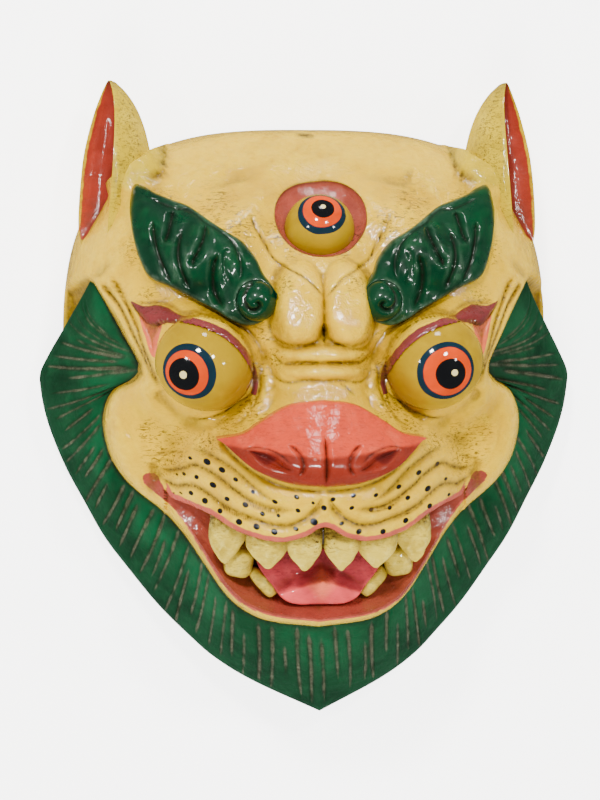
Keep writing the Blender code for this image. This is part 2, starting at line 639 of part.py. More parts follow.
def build():
    """Model the mask, piece by piece."""
    seat = make_head("seat", FIT_GAP, True)
    make_head("head_shell", 0.0, False)
    make_mane(seat)
    for side, word in ((-1, "left"), (1, "right")):
        make_ear("ear_" + word, side, seat)
        make_brow("eyebrow_" + word, side, seat)
        new_object("eyeball_" + word, ball(side * EYE_X, EYE_Y, EYE_Z, EYE_RADIUS), YELLOW)
        for label, tooth in UPPER_TEETH.items():
            make_tooth(f"upper_tooth_{label}_{word}", tooth, side, seat)
        for label, peg in LOWER_TEETH.items():
            make_peg(f"lower_tooth_{label}_{word}", peg, side, seat)
    new_object("eyeball_third", ball(THIRD_X, THIRD_Y, THIRD_Z, THIRD_RADIUS), YELLOW)
    make_nose(seat)
    make_tongue(seat)


for old in list(bpy.data.objects):
    bpy.data.objects.remove(old)
MASK = bpy.data.collections.new("snow_lion_mask")
CUTTERS = bpy.data.collections.new("cutters")
bpy.context.scene.collection.children.link(MASK)
bpy.context.scene.collection.children.link(CUTTERS)
build()
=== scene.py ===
"""Snow lion mask: the carved relief and glossy enamel of a wooden dance mask, lying face up on its rim.

Sizes and places are in millimetres until to_object turns them to metres.
+Z is the way the face looks, +Y is the top of the mask and +X is to the right of someone looking at it.
Tables of a mirrored feature give its right side.
"""
from __future__ import annotations

import logging
import math
from dataclasses import dataclass, field
from enum import Enum
from typing import Callable, Sequence, Union

import bmesh
import bpy
import numpy as np
from mathutils import Matrix, Vector

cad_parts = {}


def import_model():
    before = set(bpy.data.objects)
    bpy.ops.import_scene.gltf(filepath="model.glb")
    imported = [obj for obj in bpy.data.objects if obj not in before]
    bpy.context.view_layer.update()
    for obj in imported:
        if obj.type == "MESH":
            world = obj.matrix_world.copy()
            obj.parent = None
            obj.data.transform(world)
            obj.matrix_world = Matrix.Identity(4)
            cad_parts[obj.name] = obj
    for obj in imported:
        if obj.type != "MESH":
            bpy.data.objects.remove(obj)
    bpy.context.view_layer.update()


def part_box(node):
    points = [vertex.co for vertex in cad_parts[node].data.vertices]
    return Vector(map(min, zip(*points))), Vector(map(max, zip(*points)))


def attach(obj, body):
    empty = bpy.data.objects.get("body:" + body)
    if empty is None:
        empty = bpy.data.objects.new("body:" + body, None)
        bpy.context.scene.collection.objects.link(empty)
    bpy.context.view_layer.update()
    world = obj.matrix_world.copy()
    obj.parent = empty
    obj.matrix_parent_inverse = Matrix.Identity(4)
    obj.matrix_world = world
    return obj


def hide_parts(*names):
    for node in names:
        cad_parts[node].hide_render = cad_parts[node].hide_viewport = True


LOG = logging.getLogger("snow_lion_mask")
MM = 0.001
Array = np.ndarray
Points = Sequence[tuple[float, ...]]
Place = Callable[[Array, Array], Array]
Form = bmesh.types.BMesh
Object = bpy.types.Object
Material = bpy.types.Material
NodeTree = bpy.types.NodeTree
Socket = bpy.types.NodeSocket


class Side(Enum):
    """The two halves of the mask, as someone looking at it sees them."""

    LEFT = -1
    RIGHT = 1

    @property
    def word(self) -> str:
        """The side's name in lower case."""
        return self.name.lower()


class Blade(Enum):
    """The shape that a carver's tool leaves."""

    V_TOOL = "a sharp bottom between sloping sides"
    GOUGE = "a round trough"


# Paths and noise


def smooth_path(points: Points, count: int, closed: bool = False) -> Array:
    """Evenly spaced places along a Catmull-Rom curve.

    Args:
        points: The places that the curve runs through.
        count: How many places to return.
        closed: Whether the curve returns to its start.
    Returns:
        An array with a row for each place.
    """
    p = np.array([tuple(point) for point in points], float)
    if closed:
        p = np.vstack([p[-1], p, p[0], p[1]])
    else:
        p = np.vstack([2 * p[0] - p[1], p, 2 * p[-1] - p[-2]])
    fine = []
    for a, b, c, d in zip(p, p[1:], p[2:], p[3:]):
        t = np.linspace(0, 1, 16, endpoint=False)[:, None]
        fine.append(0.5 * (2 * b + (c - a) * t + (2 * a - 5 * b + 4 * c - d) * t ** 2
                           + (3 * b - a - 3 * c + d) * t ** 3))
    fine = np.vstack(fine + [p[-2]])
    run = np.concatenate([[0], np.cumsum(np.linalg.norm(np.diff(fine, axis=0), axis=1))])
    places = np.linspace(0, run[-1], count, endpoint=not closed)
    return np.column_stack([np.interp(places, run, fine[:, axis]) for axis in range(p.shape[1])])


def mirrored(points: Array) -> Array:
    """A whole curve from its right half: its left end, its middle and its right end."""
    return np.vstack([points[:0:-1] * ([-1] + [1] * (points.shape[1] - 1)), points])


def at_share(path: Array, share: Array) -> list[Array]:
    """The columns of an evenly spaced path at shares of its length from 0 to 1."""
    return [np.interp(share, np.linspace(0, 1, len(path)), column) for column in path.T]


def between(first: Array, second: Array, s: Array, t: Array) -> tuple[Array, Array]:
    """Places between two paths.

    Args:
        first, second: The paths.
        s: Share along them.
        t: Share from the first to the second.
    Returns:
        The x and y of the places.
    """
    a, b = at_share(first, s), at_share(second, s)
    return a[0] * (1 - t) + b[0] * t, a[1] * (1 - t) + b[1] * t


def path_distance(x: Array, y: Array, path: Array) -> tuple[Array, Array, Array]:
    """Distance to a path across the mask.

    Args:
        x, y: Places on the mask.
        path: Points of the path, in two or three columns.
    Returns:
        The distance, the side (above 0 on the left of the path's run) and the share run along it.
    """
    best = np.full(x.shape, 1e9)
    side, along = np.zeros(x.shape), np.zeros(x.shape)
    lengths = np.hypot(*np.diff(path[:, :2], axis=0).T)
    run, total = 0.0, lengths.sum()
    for a, b, length in zip(path, path[1:], lengths):
        step_x, step_y = b[0] - a[0], b[1] - a[1]
        share = np.clip(((x - a[0]) * step_x + (y - a[1]) * step_y) / max(length ** 2, 1e-9), 0, 1)
        gap = np.hypot(x - a[0] - share * step_x, y - a[1] - share * step_y)
        nearer = gap < best
        best = np.where(nearer, gap, best)
        side = np.where(nearer, step_x * (y - a[1]) - step_y * (x - a[0]), side)
        along = np.where(nearer, (run + share * length) / total, along)
        run += length
    return best, np.sign(side), along


def edge_terms(x: Array, y: Array, path: Array) -> tuple[Array, Array]:
    """Where places lie beside an edge that rises and falls.

    Args:
        x, y: Places on the mask.
        path: The edge, in three columns.
    Returns:
        The distance inside the edge, below 0 outside it, and the edge's height there.
    """
    gap, side, along = path_distance(x, y, path)
    lengths = np.hypot(*np.diff(path[:, :2], axis=0).T)
    run = np.concatenate([[0], np.cumsum(lengths)]) / lengths.sum()
    return gap * side, np.interp(along, run, path[:, 2])


def zone_depth(x: Array, y: Array, corners: Points) -> Array:
    """How far inside a rounded zone each place lies, below 0 outside it.

    Args:
        x, y: Places on the mask.
        corners: Points round the zone.
    Returns:
        The depth in millimetres.
    """
    path = smooth_path(corners, 8 * len(corners), closed=True)
    path = np.vstack([path, path[0]])
    depth = np.full(x.shape, -20.0)
    near = ((x > path[:, 0].min() - 8) & (x < path[:, 0].max() + 8)
            & (y > path[:, 1].min() - 8) & (y < path[:, 1].max() + 8))
    nx, ny = x[near], y[near]
    inside = np.zeros(nx.shape, bool)
    for a, b in zip(path, path[1:]):
        crosses = (a[1] > ny) != (b[1] > ny)
        reach = (b[0] - a[0]) * (ny - a[1]) / (b[1] - a[1] + 1e-12) + a[0]
        inside ^= crosses & (nx < reach)
    gap = path_distance(nx, ny, path)[0]
    depth[near] = np.where(inside, gap, -gap)
    return depth


def ramp(value: Array, low: float, high: float) -> Array:
    """A smooth rise from 0 at the low value to 1 at the high one."""
    share = np.clip((value - low) / (high - low), 0, 1)
    return share * share * (3 - 2 * share)


def ripples(x: Array, y: Array, wavelength: float, seed: int) -> Array:
    """Gentle seeded unevenness, for hand-cut surfaces and wavering lines.

    Args:
        x, y: Places on the mask.
        wavelength: About how far one wave reaches, in millimetres.
        seed: Picks the pattern.
    Returns:
        Values between about -1 and 1.
    """
    draw = np.random.default_rng(seed)
    total = np.zeros(x.shape)
    for _ in range(7):
        turn, phase = draw.uniform(0, 2 * math.pi, 2)
        pace = 2 * math.pi / (wavelength * draw.uniform(0.7, 1.5))
        total += np.sin(pace * (x * math.cos(turn) + y * math.sin(turn)) + phase)
    return total / 4


def blend_up(a: Array, b: Array, width: float) -> Array:
    """The higher of two heights, rounded where they cross."""
    return np.maximum(a, b) + width * np.log1p(np.exp(-np.abs(a - b) / width))


def blend_down(a: Array, b: Array, width: float) -> Array:
    """The lower of two heights, rounded where they cross."""
    return -blend_up(-a, -b, width)


@dataclass(frozen=True)
class Stroke:
    """One carved line.

    A depth below 0 leaves a ridge. The ends thin out over the taper, a share of its length.
    """

    points: Points
    width: float
    depth: float
    # How dark the bottom of the cut gets, with dirt and painted shade
    grime_and_shade: float = 0.5
    blade: Blade = Blade.V_TOOL
    taper: float = 0.15
    mirror: bool = True
    axis_x: float = 0.0

    def cut(self, x: Array, y: Array) -> tuple[Array, Array]:
        """Where it cuts.

        Args:
            x, y: Places on the mask.
        Returns:
            The depth of the cut and the dirt and painted shade along its bottom, from 0 to 1.
        """
        depth, dirt = np.zeros(x.shape), np.zeros(x.shape)
        across = np.abs(x - self.axis_x) if self.mirror else x
        path = smooth_path(self.points, 6 * len(self.points))
        near = ((across > path[:, 0].min() - self.width) & (across < path[:, 0].max() + self.width)
                & (y > path[:, 1].min() - self.width) & (y < path[:, 1].max() + self.width))
        if not near.any():
            return depth, dirt
        gap, _, along = path_distance(across[near], y[near], path)
        fade = ramp(np.minimum(along, 1 - along), -0.02, self.taper)
        share = np.clip(gap / (self.width * (0.45 + 0.55 * fade)), 0, 1)
        form = (1 - share) ** 2 if self.blade is Blade.V_TOOL else 0.5 + 0.5 * np.cos(math.pi * share)
        depth[near] = self.depth * form * fade
        dirt[near] = self.grime_and_shade * np.clip(1 - share / 0.55, 0, 1) ** 1.7 * np.sqrt(fade)
        return depth, dirt


def carve(x: Array, y: Array, strokes: Sequence[Stroke]) -> tuple[Array, Array]:
    """Cut all strokes at once.

    Args:
        x, y: Places on the mask.
        strokes: The carved lines.
    Returns:
        The summed depth and the worst dirt and painted shade at each place.
    """
    depth, dirt = np.zeros(x.shape), np.zeros(x.shape)
    for stroke in strokes:
        more, soot_and_shade = stroke.cut(x, y)
        depth += more
        dirt = np.maximum(dirt, soot_and_shade)
    return depth, dirt


# Meshes


def coordinates(form: Form) -> Array:
    """The places of a bmesh's vertices, a row for each."""
    return np.array([vert.co[:] for vert in form.verts])


def move_to(form: Form, places: Array) -> None:
    """Put each vertex of a bmesh at its row's place."""
    for vert, place in zip(form.verts, places.tolist()):
        vert.co = place


def face_outwards(form: Form) -> None:
    """Turn every face of a closed form outwards.

    Args:
        form: The form.
    """
    bmesh.ops.recalc_face_normals(form, faces=form.faces)
    if form.calc_volume(signed=True) < 0:
        bmesh.ops.reverse_faces(form, faces=form.faces)


def new_grid(columns: int, rows: int) -> tuple[Form, Array]:
    """A flat grid of clay, and the share of each vertex along and across it.

    Args:
        columns, rows: Faces along and across.
    Returns:
        The grid, and a row of shares from 0 to 1 for each vertex.
    """
    form = bmesh.new()
    bmesh.ops.create_grid(form, x_segments=columns, y_segments=rows, size=0.5)
    return form, coordinates(form) + 0.5


def new_ball(columns: int, rows: int, radius: float = 1.0) -> Form:
    """A ball round the origin, with its poles on Z.

    Args:
        columns, rows: Faces round it and from pole to pole.
        radius: Its radius in millimetres.
    Returns:
        The closed form.
    """
    form = bmesh.new()
    bmesh.ops.create_uvsphere(form, u_segments=columns, v_segments=rows, radius=radius)
    return form


def shaped_grid(columns: int, rows: int, place: Place) -> Form:
    """A grid of clay bent to a closed form, with its seam and poles welded.

    Args:
        columns, rows: Faces along and across.
        place: Gives the places for shares from 0 to 1 along and across.
    Returns:
        The closed form, with its faces outwards.
    """
    form, shares = new_grid(columns, rows)
    move_to(form, place(shares[:, 0], shares[:, 1]))
    bmesh.ops.remove_doubles(form, verts=form.verts, dist=1e-4)
    face_outwards(form)
    return form


def pad(columns: int, rows: int, top: Place, bottom: Place) -> Form:
    """A closed pad: a grid extruded from its underside to its top.

    Args:
        columns, rows: Faces along and across.
        top, bottom: Give the places for shares from 0 to 1 along and across.
    Returns:
        The closed form, with its faces outwards.
    """
    form, _ = new_grid(columns, rows)
    raised = bmesh.ops.extrude_face_region(form, geom=form.faces[:])
    upper = {item for item in raised["geom"] if isinstance(item, bmesh.types.BMVert)}
    is_top = np.array([vert in upper for vert in form.verts])
    shares = coordinates(form) + 0.5
    places = bottom(shares[:, 0], shares[:, 1])
    places[is_top] = top(shares[is_top, 0], shares[is_top, 1])
    move_to(form, places)
    face_outwards(form)
    return form


def to_object(name: str, form: Form) -> Object:
    """Make a mesh object at the origin.

    Args:
        name: The object's name.
        form: Its form in millimetres, which is freed.
    Returns:
        The object, in metres.
    """
    bmesh.ops.scale(form, vec=(MM, MM, MM), verts=form.verts)
    mesh = bpy.data.meshes.new(name)
    form.to_mesh(mesh)
    form.free()
    made = bpy.data.objects.new(name, mesh)
    bpy.context.scene.collection.objects.link(made)
    return made


def mesh_places(made: Object) -> tuple[Array, Array, Array]:
    """Read where an object's vertices are.

    Args:
        made: The object.
    Returns:
        Their x, y and z in millimetres.
    """
    flat = np.zeros(len(made.data.vertices) * 3, np.float32)
    made.data.vertices.foreach_get("co", flat)
    x, y, z = flat.astype(float).reshape(-1, 3).T / MM
    return x, y, z


def store(made: Object, name: str, values: Array) -> None:
    """Keep one number for each vertex, for a material to read."""
    layer = made.data.attributes.new(name, "FLOAT", "POINT")
    layer.data.foreach_set("value", np.ascontiguousarray(values, np.float32))


def hollowness(made: Object, passes: int) -> Array:
    """How far each vertex lies below the smoothed surface round it.

    Args:
        made: The piece.
        passes: How often the surface is smoothed; more reach wider hollows.
    Returns:
        The depth in millimetres, below 0 on ridges.
    """
    mesh, count = made.data, len(made.data.vertices)
    ends = np.zeros(2 * len(mesh.edges), np.int32)
    mesh.edges.foreach_get("vertices", ends)
    a, b = ends.reshape(-1, 2).T
    share = 0.5 / np.maximum(np.bincount(a, minlength=count) + np.bincount(b, minlength=count), 1)
    places = np.column_stack(mesh_places(made))
    smooth = places.copy()
    for _ in range(passes):
        for axis in range(3):
            row = smooth[:, axis]
            near = np.bincount(a, row[b], count) + np.bincount(b, row[a], count)
            smooth[:, axis] = 0.5 * row + share * near
    normals = np.zeros(3 * count, np.float32)
    mesh.vertex_normals.foreach_get("vector", normals)
    return ((smooth - places) * normals.reshape(-1, 3)).sum(axis=1)


def shade_and_weather(made: Object, grime_and_shade: Array, passes: int = 24, reach: float = 0.7,
            strength: float = 0.7, shield: Union[Array, float] = 0.0,
            worn: Union[Array, float] = 0.0) -> None:
    """Store a piece's dirt and painted shade, the stain and painted shade in its hollows, and the painted
    highlight and wear on its ridges.

    Args:
        made: The piece.
        grime_and_shade: The dirt and painted shade that its carved lines and seams gather, from 0 to 1.
        passes: How often the surface is smoothed to find its hollows.
        reach: The depth in millimetres at which a hollow is full of dirt and painted shade.
        strength: How dark the hollows get.
        shield: Where hollows get no dirt and no painted shade, from 0 to 1.
        worn: Where flecks and scratches lie, from 0 to 1.
    """
    hollow = hollowness(made, passes) * (1 - shield)
    store(made, "worn", worn + 0 * hollow)
    # Dirt and painted shade in the hollows
    store(made, "grime_and_shade", np.maximum(grime_and_shade, strength * ramp(hollow, 0.15 * reach, reach)))
    # A darker tone in the hollows: darkened varnish and painted shade
    store(made, "stain_and_shade", ramp(hollow, 0.25 * reach, 1.3 * reach))
    # A paler tone on the ridges: painted highlight and wear
    store(made, "ridge", ramp(-hollow, 0.1 * reach, 0.8 * reach))


def dress(made: Object, coat: Material, nodes: Sequence[str],
          crease: float = 60.0) -> None:
    """Give a piece its finish and its place in the frame.

    Args:
        made: The piece.
        coat: Its material.
        nodes: The CAD nodes that it stands for.
        crease: The angle in degrees above which an edge stays sharp.
    """
    made.data.materials.clear()
    made.data.materials.append(coat)
    made.data.shade_smooth()
    made.data.set_sharp_from_angle(angle=math.radians(crease))
    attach(made, "root")
    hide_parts(*nodes)
    LOG.info("%s: %d faces, for %s", made.name, len(made.data.polygons), ", ".join(nodes))


# Finishes

SocketValue = Union[float, tuple, Socket]


def linear(code: str) -> tuple[float, float, float, float]:
    """An sRGB hex colour as the linear values that a shader takes."""
    channels = [int(code[i:i + 2], 16) / 255 for i in (0, 2, 4)]
    return (*[c / 12.92 if c <= 0.04045 else ((c + 0.055) / 1.055) ** 2.4 for c in channels], 1.0)


def add_node(tree: NodeTree, kind: str, inputs: dict[Union[str, int], SocketValue] | None = None,
             **settings: object) -> bpy.types.Node:
    """Add a node with its settings, its values and its links.

    Args:
        tree: The material's node tree.
        kind: The node's type.
        inputs: A value or another node's output for each input, by name or number.
        settings: The node's own settings.
    Returns:
        The node.
    """
    made = tree.nodes.new(kind)
    for name, value in settings.items():
        setattr(made, name, value)
    for key, value in (inputs or {}).items():
        if isinstance(value, Socket):
            tree.links.new(value, made.inputs[key])
        else:
            made.inputs[key].default_value = value
    return made


@dataclass(frozen=True)
class Palette:
    """A material's node tree, with the few kinds of node that the enamels are mixed from."""

    tree: NodeTree
    place: Socket  # Object coordinates

    def read(self, attribute: str) -> Socket:
        """The number that a piece keeps for each vertex."""
        return add_node(self.tree, "ShaderNodeAttribute", attribute_name=attribute).outputs["Fac"]

    def noise(self, size: float, **inputs: SocketValue) -> Socket:
        """Cloudy noise with a mark about every so many millimetres, and the node's other inputs."""
        given = {"Vector": self.place, "Scale": 1 / (size * MM), **inputs}
        return add_node(self.tree, "ShaderNodeTexNoise", given).outputs["Fac"]

    def spread(self, value: Socket, low: float, high: float, to_high: float,
               to_low: float = 0.0, kind: str = "LINEAR") -> Socket:
        """Stretch a value from one range to another and keep it inside.

        Args:
            value: The value.
            low, high: The range that it has.
            to_high, to_low: What it becomes at the range's high and low ends.
            kind: How it goes from one end to the other.
        Returns:
            The new value.
        """
        given = {"Value": value, "From Min": low, "From Max": high, "To Min": to_low, "To Max": to_high}
        made = add_node(self.tree, "ShaderNodeMapRange", given, interpolation_type=kind)
        return made.outputs["Result"]

    def math(self, operation: str, *values: SocketValue, clamp: bool = False) -> Socket:
        """One step of arithmetic on values or other nodes' outputs."""
        given = dict(enumerate(values))
        return add_node(self.tree, "ShaderNodeMath", given, operation=operation, use_clamp=clamp).outputs[0]

    def mix(self, share: Socket, under: SocketValue, over: SocketValue) -> Socket:
        """One colour over another, as far as the share says."""
        given = {0: share, 6: under, 7: over}
        return add_node(self.tree, "ShaderNodeMix", given, data_type="RGBA").outputs[2]


@dataclass(frozen=True)
class PaintZone:
    """A second colour brushed on over the ground coat where an attribute is above a limit."""

    attribute: str
    colour: str
    limit: float = 0.0
    softness: float = 0.18
    waver: float = 0.25  # millimetres that the brushed edge wanders
    strength: float = 1.0


@dataclass(frozen=True)
class Enamel:
    """Glossy oil enamel brushed on carved wood over a thin gesso.

    It is named for its colour. The eye sees a wet-looking coat over a slightly uneven ground, warm
    stains, black pin-dots where bubbles broke, brown dirt and painted shade in the creases and hollows, and
    painted highlights on the ridges.
    """

    name: str
    colour: str
    shade: str  # the darker, thinner coat that shows in patches
    light: str  # the thicker, paler coat, in small patches
    zones: tuple[PaintZone, ...] = ()
    # The colour of the dirt and painted shade in the creases and hollows
    grime_and_shade: str = "3A2812"
    grime_and_shade_strength: float = 0.85
    roughness: float = 0.24
    patch_size: float = 38.0  # millimetres between stains
    tool_size: float = 7.0  # millimetres between the marks of the blade
    tool_depth: float = 0.35  # millimetres
    pin_dots: float = 0.5
    specular: float = 0.12
    coat: float = 0.65
    stain_and_shade: str = ""  # the darker tone of the hollows, darkened varnish and painted shade, none where empty
    stain_and_shade_strength: float = 0.6
    ridge: str = ""  # the paler tone of the ridges, painted highlight and paint that years of hands rubbed pale, none where empty
    ridge_strength: float = 0.5

    def build(self) -> Material:
        """The node material.

        Returns:
            A material that reads Object coordinates and the piece's attributes.
        """
        made = bpy.data.materials.new(self.name)
        made.use_nodes = True
        tree = made.node_tree
        shader = tree.nodes["Principled BSDF"]
        palette = Palette(tree, add_node(tree, "ShaderNodeTexCoord").outputs["Object"])
        colour = self._ground(palette)
        if self.ridge:
            colour = self._wash(palette, colour, "ridge", self.ridge, self.ridge_strength)
        for zone in self.zones:
            colour = self._zone(palette, colour, zone)
        if self.stain_and_shade:
            colour = self._wash(palette, colour, "stain_and_shade", self.stain_and_shade, self.stain_and_shade_strength)
        colour, dirt = self._dirt_and_shade(palette, colour)
        sheen = palette.spread(palette.noise(9, Detail=3.0), 0.3, 0.7, self.roughness * 1.5,
                               self.roughness * 0.75)
        relief = self._relief(palette)
        tree.links.new(colour, shader.inputs["Base Color"])
        tree.links.new(palette.math("MULTIPLY_ADD", dirt, 0.35, sheen), shader.inputs["Roughness"])
        tree.links.new(relief, shader.inputs["Normal"])
        tree.links.new(relief, shader.inputs["Coat Normal"])
        shader.inputs["IOR"].default_value = 1.5
        shader.inputs["Specular IOR Level"].default_value = self.specular
        shader.inputs["Coat Weight"].default_value = self.coat
        shader.inputs["Coat Roughness"].default_value = 0.05
        return made

    def _ground(self, palette: Palette) -> Socket:
        """The ground coat, uneven in tone.

        Args:
            palette: The material's nodes.
        Returns:
            The colour, thin and dark in broad patches, thick and pale in small ones.
        """
        broad = palette.noise(self.patch_size, Detail=4.0, Roughness=0.6)
        fine = palette.noise(self.patch_size * 0.3, Detail=6.0, Distortion=0.6)
        thin = palette.mix(palette.spread(broad, 0.46, 0.68, 0.9), linear(self.colour), linear(self.shade))
        return palette.mix(palette.spread(fine, 0.5, 0.72, 0.6), thin, linear(self.light))

    def _zone(self, palette: Palette, under: Socket, zone: PaintZone) -> Socket:
        """One painted zone, with an edge that a hand brushed.

        Args:
            palette: The material's nodes.
            under: The colour under it.
            zone: The zone.
        Returns:
            The colour with the zone on it.
        """
        wander = palette.math("MULTIPLY_ADD", palette.noise(5, Detail=2.0), 4 * zone.waver,
                              palette.read(zone.attribute))
        middle = zone.limit + 2 * zone.waver
        edge = palette.spread(wander, middle - zone.softness, middle + zone.softness, zone.strength,
                              kind="SMOOTHSTEP")
        tone = palette.spread(palette.noise(12, Detail=4.0, Distortion=0.5), 0.35, 0.7, 1.12, 0.82)
        top = add_node(palette.tree, "ShaderNodeVectorMath", {0: linear(zone.colour)[:3], 3: tone},
                       operation="SCALE")
        return palette.mix(edge, under, top.outputs[0])

    def _wash(self, palette: Palette, under: Socket, attribute: str, colour: str,
              strength: float) -> Socket:
        """A thin uneven tone where an attribute rises.

        Args:
            palette: The material's nodes.
            under: The colour under it.
            attribute: The attribute's name.
            colour: The tone.
            strength: How much of it covers, from 0 to 1.
        Returns:
            The colour with the tone on it.
        """
        broken = palette.spread(palette.noise(4, Detail=5.0, Roughness=0.7), 0.35, 0.62, 1.2 * strength)
        share = palette.math("MULTIPLY", palette.read(attribute), broken, clamp=True)
        return palette.mix(share, under, linear(colour))

    def _dirt_and_shade(self, palette: Palette,
              under: Socket) -> tuple[Socket, Socket]:
        """Brown dirt and painted shade in the creases, scuffs on worn places and scattered pin-dots.

        Args:
            palette: The material's nodes.
            under: The colour under them.
        Returns:
            The colour with the dirt and painted shade on it, and how much of them there is.
        """
        crumbs = palette.spread(palette.noise(2.2, Detail=6.0, Roughness=0.75), 0.32, 0.62, 1.35, 0.35)
        deep = palette.math("MULTIPLY", palette.read("grime_and_shade"), crumbs, clamp=True)
        lie = add_node(palette.tree, "ShaderNodeMapping", {
            "Vector": palette.place, "Rotation": (0.0, 0.0, math.radians(35)), "Scale": (0.35, 1.3, 1.0)})
        fibres = palette.noise(1.5, Vector=lie.outputs[0], Detail=5.0, Roughness=0.7, Distortion=0.8)
        scuffs = palette.math("MULTIPLY", palette.read("worn"), palette.spread(fibres, 0.51, 0.6, 0.9))
        bubbles = add_node(palette.tree, "ShaderNodeTexVoronoi", {
            "Vector": palette.place, "Scale": 1 / (8.5 * MM)})
        dots = palette.spread(bubbles.outputs["Distance"], 0.035, 0.065, 0.0, 1.0)
        areas = palette.spread(palette.noise(24, Detail=2.0), 0.52, 0.6, self.pin_dots)
        loose = palette.math("MAXIMUM", scuffs, palette.math("MULTIPLY", dots, areas))
        # Creases and hollows darkened with dirt and painted shade
        creases = palette.math("MULTIPLY", deep, self.grime_and_shade_strength)
        dirt = palette.math("MAXIMUM", creases, loose, clamp=True)
        return palette.mix(dirt, under, linear(self.grime_and_shade)), dirt

    def _relief(self, palette: Palette) -> Socket:
        """The marks of the blade under the paint and the fine drag of the brush in it.

        Args:
            palette: The material's nodes.
        Returns:
            The bent normal.
        """
        marks = palette.noise(self.tool_size, Detail=3.0, Roughness=0.55, Distortion=0.5)
        brush = palette.noise(1.8, Detail=3.0, Roughness=0.6)
        bump = add_node(palette.tree, "ShaderNodeBump", {
            "Height": palette.math("MULTIPLY_ADD", brush, 0.2, marks), "Strength": 1.0,
            "Distance": self.tool_depth * MM})
        return bump.outputs["Normal"]


# The head


@dataclass(frozen=True)
class Mass:
    """One rounded mass of the face, and its mirrored twin where it is off centre."""

    x: float
    y: float
    half_x: float
    half_y: float
    turn: float
    top: float
    drop: float
    power: float
    blend: float
    axis_x: float = 0.0
    tilt: float = 0.0  # how fast it sinks towards the top of the mask
    fine: bool = False  # a small form that the brows don't follow

    def height(self, x: Array, y: Array) -> Array:
        """Its height over the rim.

        Args:
            x, y: Places on the mask.
        Returns:
            The height in millimetres.
        """
        turn = math.radians(self.turn)
        dx = np.abs(x - self.axis_x) - self.x if self.x else x - self.axis_x
        dy = y - self.y
        along = (dx * math.cos(turn) + dy * math.sin(turn)) / self.half_x
        across = (dy * math.cos(turn) - dx * math.sin(turn)) / self.half_y
        return self.top - self.tilt * dy - self.drop * (along ** 2 + across ** 2) ** (self.power / 2)


MASSES: tuple[Mass, ...] = (
    Mass(0, 58, 58, 34, 0, 127, 26, 2, 7),  # root of the brows
    Mass(66, 82, 50, 22, -38, 106, 20, 2, 6),  # shelf that carries each brow
    Mass(0, 8, 40, 46, 0, 143, 26, 2, 6),  # bridge of the nose
    Mass(65, 24, 38, 38, 0, 134, 25, 2, 5),  # mound round each eye
    Mass(95, 50, 22, 16, -35, 103, 10, 2, 4),  # outer corner of each eye
    Mass(0, -48, 80, 74, 0, 168, 54, 2, 5),  # muzzle
    Mass(95, -14, 30, 40, 12, 103, 20, 3, 5),  # cheek
    Mass(0, -98, 70, 44, 0, 135, 18, 3, 4),  # jaw
    Mass(12.9, 59.6, 16.0, 25, 5, 137, 15, 4.4, 0.9, 2.2, 0.42, fine=True),  # frowning pads
    Mass(0, 32, 25, 7.4, 0, 141.5, 14, 2.4, 1.0, 1.0, fine=True),  # upper fold of the bridge
    Mass(0, 22.5, 24, 6.8, 0, 145, 14, 2.4, 1.0, 1.0, fine=True),  # lower fold of the bridge
    Mass(101, 134, 17, 34, -12, 66, 12, 4, 1.5, tilt=0.45, fine=True),  # root of each ear
)

MANE_INNER: Points = (  # from the temple down to the chin
    (128, 72, 54), (118, 55.5, 64), (110, 41, 72), (101, 24, 82), (105, 16, 80), (117, 8, 68),
    (122.5, -8, 62), (119.5, -27, 62), (112.5, -40, 64), (102.5, -50, 68), (89, -60, 74), (76.5, -73, 82),
    (64.5, -90, 90), (52.5, -107, 94), (40, -117, 97), (26, -122, 99), (0, -125, 100))
MANE_OUTER: Points = (
    (129, 73, 55), (138, 57, 44), (147, 41.5, 36), (154, 29.5, 30), (160, 17, 26), (160, 7, 25),
    (157.5, -7, 26), (153, -21.5, 27), (145, -41, 28), (135, -60, 30), (123, -82, 32), (108.5, -102, 34),
    (92.5, -123, 35), (76, -141, 35), (60.5, -156, 35), (38, -171, 35), (0, -190, 35))
TEMPLE_LIMIT: Points = ((133, 84, 90), (140, 110, 220), (140, 260, 400))
UPPER_LIP: Points = (
    (0, -60, 166), (3.5, -61, 166), (12, -66, 166), (26, -69, 164), (45.5, -65, 152), (61.5, -56.5, 135),
    (78, -51.5, 113), (84, -49, 109), (88.5, -42.5, 103), (93, -36.5, 99), (97, -37, 98))
LOWER_LIP: Points = (
    (0, -118, 134), (31, -113.5, 133), (50.5, -102.5, 128), (66, -79, 118), (78, -60, 108), (88, -50.5, 102),
    (96, -45, 98), (99, -40.5, 97))
LID_EDGE: Points = (  # the upper lid over the ball, from its outer to its inner end
    (97, 50.5), (91.6, 48.6), (84.5, 50.6), (76, 49.9), (67.5, 48.2), (60.7, 45.6), (53.9, 42.1),
    (47.9, 36.9), (43.6, 31.8), (40.0, 26.0), (37.6, 20.5), (36.6, 15.0), (37.4, 9.5))
LID_FOLD: Points = (
    (105.4, 61.3), (98, 58.6), (90, 59.4), (85, 58.2), (80, 55.4), (76, 52.2), (77.5, 50.4), (85.5, 50.4),
    (91.6, 48.2), (96.6, 50.2), (101.5, 55.2))
EAR_FOOT: Points = (  # the part of the head that carries on the ear's tone
    (88, 160), (85, 150), (85, 143), (88, 136), (94, 130), (104, 128), (118, 128), (126, 140), (122, 158),
    (104, 168))
EYE_FLESH: Points = (
    (100.6, 54.4), (96.6, 50.2), (91.6, 48.2), (87.5, 50), (88.4, 45), (90, 38.7), (91.4, 31), (94.1, 31.6),
    (96.4, 39), (99.2, 47.5))


